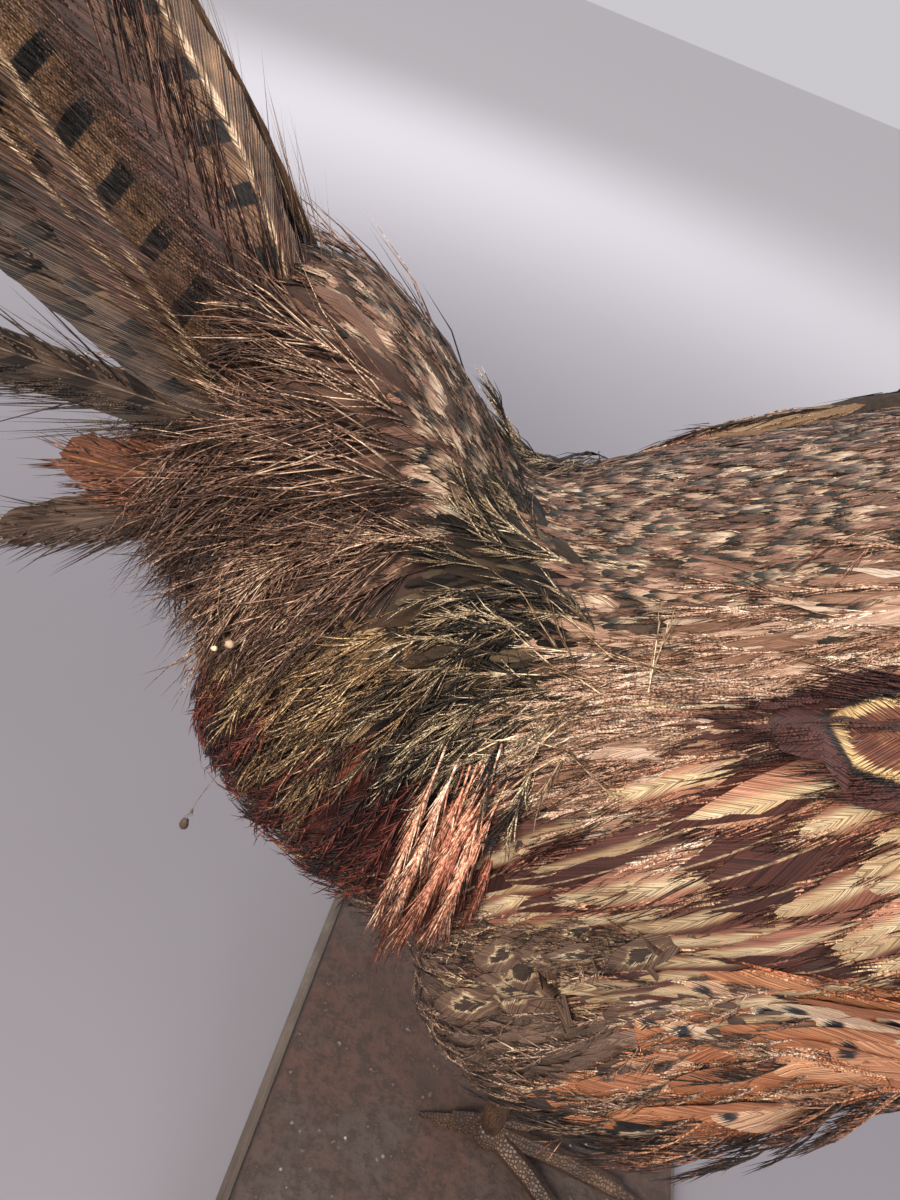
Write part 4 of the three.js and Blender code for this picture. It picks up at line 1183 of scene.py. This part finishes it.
def tail_blade(hand, index, long, half, fan, drop):
    """One tail feather: its middle line runs out from the tail root, turned by the fan
    angle on the sloping roof. The half width tapers from 30 % of the length and rounds
    off over the last 6 %. The blade is thickest on the line and its edges bend down."""
    fan = np.radians(fan)
    above = np.array([np.sin(RISE), 0, np.cos(RISE)])
    slope = np.array([0, hand * np.cos(ROOF), 0]) - above * np.sin(ROOF)
    outward = np.array([0, hand * np.sin(ROOF), 0]) + above * np.cos(ROOF)
    way = TAIL_WAY * np.cos(fan) + slope * np.sin(fan)
    side = np.cross(way, outward)
    outer = np.sign(side @ slope)
    start = TAIL_ROOT + TAIL_WAY * 0.014 + slope * drop + outward * (0.007 - 0.0017 * index)
    count, taper, rough = (130, 0.78, 0.012) if long > 0.2 else (40, 0.5, 0.06)
    v = np.linspace(0, 1, count)
    grow = np.clip(v / 0.16, 0, 1)
    width = 0.16 + 0.84 * grow * grow * (3 - 2 * grow)
    width = width * (1 - taper * np.clip((v - 0.3) / 0.7, 0, None) ** 1.25)
    width = width * np.sqrt(1 - np.clip((v - 0.94) / 0.0605, 0, 1) ** 2)
    turn = np.linspace(np.pi, -np.pi, 20, endpoint=False)
    q = np.cos(turn)
    chance = np.where(q < 0, rng.normal(0, 1, (count, 1)), rng.normal(0, 1, (count, 1)))
    fray = 1 + rough * chance * (v[:, None] > 0.1)
    out = half * width[:, None] * q * fray
    up = 0.0004 * np.sin(turn) * np.sqrt(np.minimum(1, width))[:, None] - 0.1 * out**2 / half
    middle = start + way * (long * v)[:, None]
    rings = middle[:, None] + side * out[..., None] + outward * up[..., None]
    flat = np.empty((1, count, 20, 2))
    flat[..., 0] = 0.5 + 0.5 * outer * q * fray
    flat[..., 1] = (v * long / LONGEST)[:, None]
    tip = middle[-1] + way * 0.0006
    end = np.array([[0.5, long / LONGEST]])
    blade = ring_mesh(rings[None], tip[None], flat, end, np.zeros((1, 2)), np.full(1, 0.5), (0, 10))
    knots = middle[::10][None]
    laid = (v[::10], knots, np.broadcast_to(outward, knots.shape), np.broadcast_to(way, knots.shape),
            np.full(1, long), np.full(1, half), np.full(len(knots[0]), 0.0003), np.full(1, 0.5))
    return blade, laid, outer


def tail_map(part, share):
    """Tail parts share one bake map: across and along the feather itself. Loose barbs
    take the along coordinate of the longest feather too, by their feather's share of it."""
    points, faces, flat, _, tone, rim = part
    flat = flat * np.array([1, share])
    return points, faces, flat, np.clip(0.05 + 0.9 * flat, 0.01, 0.99), tone, rim


def tail_paint(name, shaft, web, bar, shaft_colour, loose, loose_tones, bar_reach, inner=0.0):
    """Tail finish: the web colour, dark bars every 11 mm broken up by noise, a pale
    shaft line at its own place across, and the colour of the loose outer barbs."""
    made = Feather(name, 0.5)
    fine = made.place.noise(120.0, 6.0, 0.7)
    from_shaft = (made.u - shaft).size()
    phase = (from_shaft * -0.025 + made.v) * (2 * np.pi * LONGEST / BAR_STEP) + 0.7
    wave = (fine * 0.8 + (made.place.noise(55.0, 2.0) * 1.5 + phase)).maths("SINE")
    near_shaft = (made.hair * 0.35 + from_shaft).step(bar_reach + 0.05, bar_reach - 0.03)
    mark = wave.step(0.35, 0.55) * near_shaft * made.u.step(inner, inner + 0.02)
    frayed = (made.hair * 0.9 + made.u).step(loose, loose + 0.12)
    colour = fine.ramp(web).mix(mark, bar).mix(frayed, (made.hair * 1.2 + made.tone).ramp(loose_tones))
    colour = colour.mix(from_shaft.step(0.024, 0.012), shaft_colour)
    return made.lay_tone_dust_and_shade(colour, 2 * np.pi * LONGEST / 0.0011, 0.17, 0.5, "ffffff ffffff", shaft)


PURPLISH = "0 1c1412 0.4 3d2b27 0.7 67493f 1 a07a68"
GREYISH = "0 2a221e 0.5 4a3e36 1 7c6a5a"
RUSTY = "0 7a4c38 0.5 94604a 1 b07a5c"
central = tail_paint("central_tail_vane", 0.13, "0.35 5f4938 0.5 7d624b 0.65 98795c", "1d1918", "d8c0a2",
                     0.34, PURPLISH, 0.22, 0.14)
barred = tail_paint("barred_tail_vane", 0.38, "0.35 40352c 0.5 64544a 0.65 85705a", "1e1917", "d8cab6", 0.9,
                    GREYISH, 0.6)
ragged = tail_paint("ragged_tail_vane", 0.4, "0.35 43372f 0.5 5c4d42 0.65 6f5f50", "2c241f", "8a7868", 0.6,
                    GREYISH, 0.6)
rust = tail_paint("red_brown_tail_vane", 0.5, "0.35 7d5340 0.5 8a5e4a 0.65 98684f", "6a4434", "c88a5a", 0.7,
                  RUSTY, 0.05)
dull = tail_paint("grey_brown_tail_vane", 0.5, "0.35 5c4b42 0.5 6d5a4e 0.65 7d6a5c", "54453d", "8a7564", 0.7,
                  GREYISH, 0.05)
# Length, half width, fan angle, drop down the roof, finish, number of barbs, their length
# as a share of the feather's, and how far out on the vane they begin.
TAIL_FEATHERS = [
    (0.455, 0.0185, 0.6, 0.012, central, 5600, 0.075, (-0.1, 1.0)),
    (0.400, 0.016, 6.5, 0.012, central, 3000, 0.075, (0.0, 1.0)),
    (0.330, 0.014, 12.5, 0.012, barred, 700, 0.05, (0.3, 1.0)),
    (0.272, 0.012, 19, 0.012, barred, 600, 0.05, (0.3, 1.0)),
    (0.226, 0.0045, 40, 0.011, ragged, 400, 0.14, (0.2, 0.9)),
    (0.046, 0.008, 44, 0.026, rust, 240, 0.3, (0.2, 0.9)),
    (0.066, 0.007, 66, 0.017, dull, 260, 0.25, (0.2, 0.9)),
]
for index, (long, half, fan, drop, paint, each, share, begin) in enumerate(TAIL_FEATHERS):
    for hand, mark in ((-1, "R"), (1, "L")):
        blade, laid, outer = tail_blade(hand, index, long, half, fan, drop)
        hands = np.where(np.arange(each) % 4 == 3, -outer, outer)
        loose = barbs(laid, each, 0.42, share, 0.00024, (0.02, 0.97), begin, lift=0.04, fuzz=0.1, joints=1,
                      hands=hands)
        parts = [tail_map(blade, 1), tail_map(loose, long / LONGEST)]
        piece = coat_piece(f"tail_plume_{index + 1}_{mark}", parts, paint)
        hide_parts(f"tail_feather_{index + 1}_{mark}")

# ---------------------------------------------------------------- head
# The bare face is warty red skin that rolls into a lid round the glass eye. The bill is
# pale horn with a hooked tip and a swollen flap over each nostril.
head_skin = skin_points[(skin_points[:, 0] > 0.118) & (skin_points[:, 2] > 0.385)]


def cheek(x, z, hand):
    """How far out the head's skin lies over a place of its side view: the mean over the
    skin points of that side, weighted by a bell curve 1.3 mm wide."""
    side = head_skin[head_skin[:, 1] * hand > 0.0015]
    gap = (x[..., None] - side[:, 0]) ** 2 + (z[..., None] - side[:, 2]) ** 2
    weight = np.exp(-gap / (2 * 0.0013**2)) + 1e-12
    return (weight * abs(side[:, 1])).sum(-1) / weight.sum(-1)


def loop_faces(rows, columns):
    """Quads of a grid that closes on itself both ways, like a ring."""
    turn = np.arange(columns)
    last = (rows - 1) * columns
    close = np.stack([last + turn, last + (turn + 1) % columns, (turn + 1) % columns, turn], axis=1)
    return np.concatenate([grid_faces(rows, columns), close])


def capped(rows, columns):
    """Quads of a tube of rings with one many-sided face over each end."""
    ends = [np.arange(columns)[::-1][None], (rows - 1) * columns + np.arange(columns)[None]]
    return [grid_faces(rows, columns), *ends]


def rigid_piece(name, points, faces, material, node):
    """A closed hard piece on the body that stands for one plain solid. Its faces are turned
    round when they close a negative volume: the sum of their corners' triple products."""
    points = points.reshape(-1, 3)
    total = 0.0
    for part in faces:
        for k in range(1, part.shape[1] - 1):
            a, b, c = points[part[:, 0]], points[part[:, k]], points[part[:, k + 1]]
            total += (a * np.cross(b, c)).sum()
    faces = faces if total > 0 else [part[:, ::-1] for part in faces]
    piece = mesh_piece(name, points, faces, material)
    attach(piece, "root")
    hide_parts(node)


red_skin, place = finish_of("red_face_skin", 0.5)
warts = wire(place.tree, "ShaderNodeTexVoronoi", {"Vector": place, "Scale": 1500.0})
colour = place.noise(190.0, 5.0).ramp("0.3 701410 0.5 98221a 0.72 b64434")
# The red darkens away from each wart's middle: painted shade in the creases between the warts.
colour = colour.mix(warts.step(0.35, 0.8), "5a120e")
cover(red_skin, colour, warts, 0.6, 0.0002, invert=True)

glass, place = finish_of("glass_eye", 0.05, Coat_Weight=1.0)
centred = wire(place.tree, "ShaderNodeMapping", {"Vector": place, "Location": (-EYE_X, 0, -EYE_Z)})
flat_eye = wire(place.tree, "ShaderNodeVectorMath", {0: centred, 1: (1, 0, 1)}, operation="MULTIPLY")
from_axis = wire(place.tree, "ShaderNodeVectorMath", {0: flat_eye}, "Value", operation="LENGTH")
pupil = from_axis.step(0.0021, 0.0019)
iris = place.noise(900.0, 2.0).ramp("0.3 8a4a14 0.6 c4782a 0.8 dca044")
cover(glass, iris.mix(pupil, "050404").mix(from_axis.step(0.0034, 0.0038), "1a100a"))

FACE_TURN = np.radians([0, 45, 90, 135, 180, 210, 240, 270, 315, 360])
FACE_REACH = [0.0128, 0.0092, 0.0082, 0.0095, 0.0142, 0.0160, 0.0148, 0.0138, 0.0132, 0.0128]
TUFT_BLADES = 110
TUFT_PLACES = np.array([0.0, 0.3, 0.6, 0.85])
around = np.linspace(0, 2 * np.pi, 144, endpoint=False)
outer_rim = np.interp(around, FACE_TURN, FACE_REACH)
outer_rim = np.mean([np.roll(outer_rim, k) for k in range(-7, 8)], axis=0)
opening = 1 / np.sqrt((np.cos(around) / 0.0038) ** 2 + (np.sin(around) / 0.0032) ** 2)
share = np.concatenate([np.linspace(0, 1, 56), np.linspace(1, 0, 8)[1:-1]])[:, None]
is_back = np.arange(len(share))[:, None] >= 56
radius = opening + (outer_rim - opening) * share
polar = np.linspace(0.03, np.pi - 0.03, 30)[:, None]
turn = np.linspace(0, 2 * np.pi, 48, endpoint=False)[None]
ball = [np.sin(polar) * np.cos(turn), np.cos(polar) + 0 * turn, np.sin(polar) * np.sin(turn)]
ball = np.stack(ball, axis=-1)
for hand, mark in ((-1, "R"), (1, "L")):
    x = EYE_X + radius * np.cos(around)
    z = EYE_Z + radius * np.sin(around)
    skin_y = cheek(x, z, hand)
    spots = EYE_X - 0.001 + rng.uniform(-0.016, 0.016, 900), EYE_Z - 0.003 + rng.uniform(-0.013, 0.013, 900)
    gap = ((x[..., None] - spots[0]) ** 2 + (z[..., None] - spots[1]) ** 2).min(-1)
    wart = 0.00042 * np.clip(1 - gap / 0.0007**2, 0, 1) * np.clip((share - 0.22) / 0.1, 0, 1)
    roll = 0.0011 * np.exp(-(((share - 0.11) / 0.08) ** 2))
    roll = roll - 0.0005 * np.exp(-(((share - 0.27) / 0.05) ** 2))
    swell = 0.0005 * np.sin(2 * around + 0.6) * share * (1 - share) * 4
    over = skin_y + 0.0016 + roll + swell + wart - 0.0022 * share**5
    y = np.where(is_back, skin_y - 0.0012, over)
    points = np.stack([x, hand * y, z], axis=-1)
    faces = [loop_faces(*x.shape)]
    rigid_piece(f"bare_face_{mark}", points, faces, red_skin, f"wattle_{mark}")
    eye_y = hand * (cheek(np.array(EYE_X), np.array(EYE_Z), hand) - 0.0022)
    points = np.array([EYE_X, eye_y, EYE_Z]) + 0.0050 * ball
    rigid_piece(f"eye_glass_{mark}", points, capped(30, 48), glass, f"eye_{mark}")
    root = np.array([0.131, hand * 0.0105, 0.4235])
    tip = np.array([0.1135, hand * 0.0165, 0.4355])
    way = unit(tip - root)
    begin = root + rng.normal(0, 0.0024, (TUFT_BLADES, 3))
    end = tip + rng.normal(0, 0.0016, begin.shape) + way * rng.uniform(-0.011, 0.001, (TUFT_BLADES, 1))
    middle = begin[:, None] + (end - begin)[:, None] * TUFT_PLACES[:, None]
    normal = np.broadcast_to(unit(np.cross(way, [0, 0, 1]) * hand * -1), middle.shape)
    side = unit(np.cross(np.broadcast_to(unit(end - begin)[:, None], middle.shape), normal))
    across = 0.0006 * np.array([0.6, 1, 0.75, 0.35])[:, None] * SLIM[:, 0]
    up = 0.0003 * SLIM[:, 1]
    rings = middle[:, :, None] + side[:, :, None] * across[None, ..., None]
    rings = rings + normal[:, :, None] * up[:, None]
    flat = np.stack(np.meshgrid(TUFT_PLACES, [0, 0.5, 1, 0.5], indexing="ij")[::-1], -1)
    flat = np.broadcast_to(flat, (TUFT_BLADES, 4, 4, 2))
    edge = np.tile([0.5, 1.0], (TUFT_BLADES, 1))
    made = ring_mesh(rings, end, flat, edge, bake_place(begin), rng.random(TUFT_BLADES), (0, 2))
    tuft = coat_piece(f"ear_tuft_feathers_{mark}", [made], hackle_paint)
    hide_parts(f"ear_tuft_{mark}")

horn, place = finish_of("pale_bill_horn", 0.32)
grain = wire(place.tree, "ShaderNodeMapping", {"Vector": place, "Scale": (60, 380, 380)}).noise(2.0, 6.0)
along_bill = place.part(0)
slot_x = along_bill * 620.0 - 0.1738 * 620
slot_z = place.part(2) * 2200.0 - 0.4139 * 2200
# The nostril is a dark spot of painted shade, standing for the opening under the flap.
nostril = (slot_x * slot_x + slot_z * slot_z).step(1.4, 0.5)
colour = grain.ramp("0.3 94805a 0.5 b9a67a 0.72 d2c49e").mix(along_bill.step(0.174, 0.168), "6f6250")
colour = colour.mix(along_bill.step(0.192, 0.2) * 0.5, "7a6c52").mix(nostril, "33281d")
cover(horn, colour, grain, 0.25, 0.0002)

turn = np.linspace(0, 2 * np.pi, 40, endpoint=False)[None]
high = np.sin(turn) > 0
bulge = abs(np.sin(turn)) ** 0.85
t = np.linspace(0, 0.998, 56)[:, None]
taper = np.sqrt(1 - t**2.4)
wide = (0.0078 + 0.0022 * (1 - t)) * taper * (1 - 0.3 * t)
flap = np.exp(-(((t - 0.33) / 0.09) ** 2)) * np.exp(-(((abs(np.cos(turn)) - 0.8) / 0.22) ** 2)) * high
x = 0.161 + 0.040 * t + 0 * turn
y = (wide + 0.0008 * flap) * np.cos(turn)
z = 0.4105 - 0.0088 * t**2.3 + np.where(high, 0.0078 * taper * bulge, -0.0007 * taper * abs(np.sin(turn)))
points = np.stack([x, y, z + 0.0004 * flap], axis=-1)
rigid_piece("upper_bill", points, capped(56, 40), horn, "bill_upper")
taper = np.sqrt(1 - t**2.6)
x = 0.161 + 0.0355 * t + 0 * turn
y = (0.0070 + 0.0020 * (1 - t)) * taper * (1 - 0.25 * t) * np.cos(turn)
lip = 0.4105 - 0.0088 * ((x - 0.161) / 0.04) ** 2.3 - 0.0006
z = lip + np.where(high, 0.0003 * np.sin(turn), -0.0052 * taper * bulge)
rigid_piece("lower_bill", np.stack([x, y, z], axis=-1), capped(56, 40), horn, "bill_lower")

# ---------------------------------------------------------------- legs
# The shanks and feet are dried scaly skin, orange brown, darker between the scales.
leather, place = finish_of("dried_leg_scales", 0.5)
look = {"Vector": place, "Scale": 950.0, "Randomness": 0.7}
cells = wire(place.tree, "ShaderNodeTexVoronoi", look, feature="DISTANCE_TO_EDGE")
colour = place.noise(90.0, 5.0).ramp("0.3 33251d 0.5 4a3527 0.7 634a35")
colour = colour.mix(cells.step(0.1, 0.02), "2c2019")
cover(leather, colour, cells.step(0.0, 0.2), 0.7, 0.0004)
for name in ("shank_R", "shank_L", "foot_R", "foot_L"):
    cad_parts[name].material_slots[0].material = leather
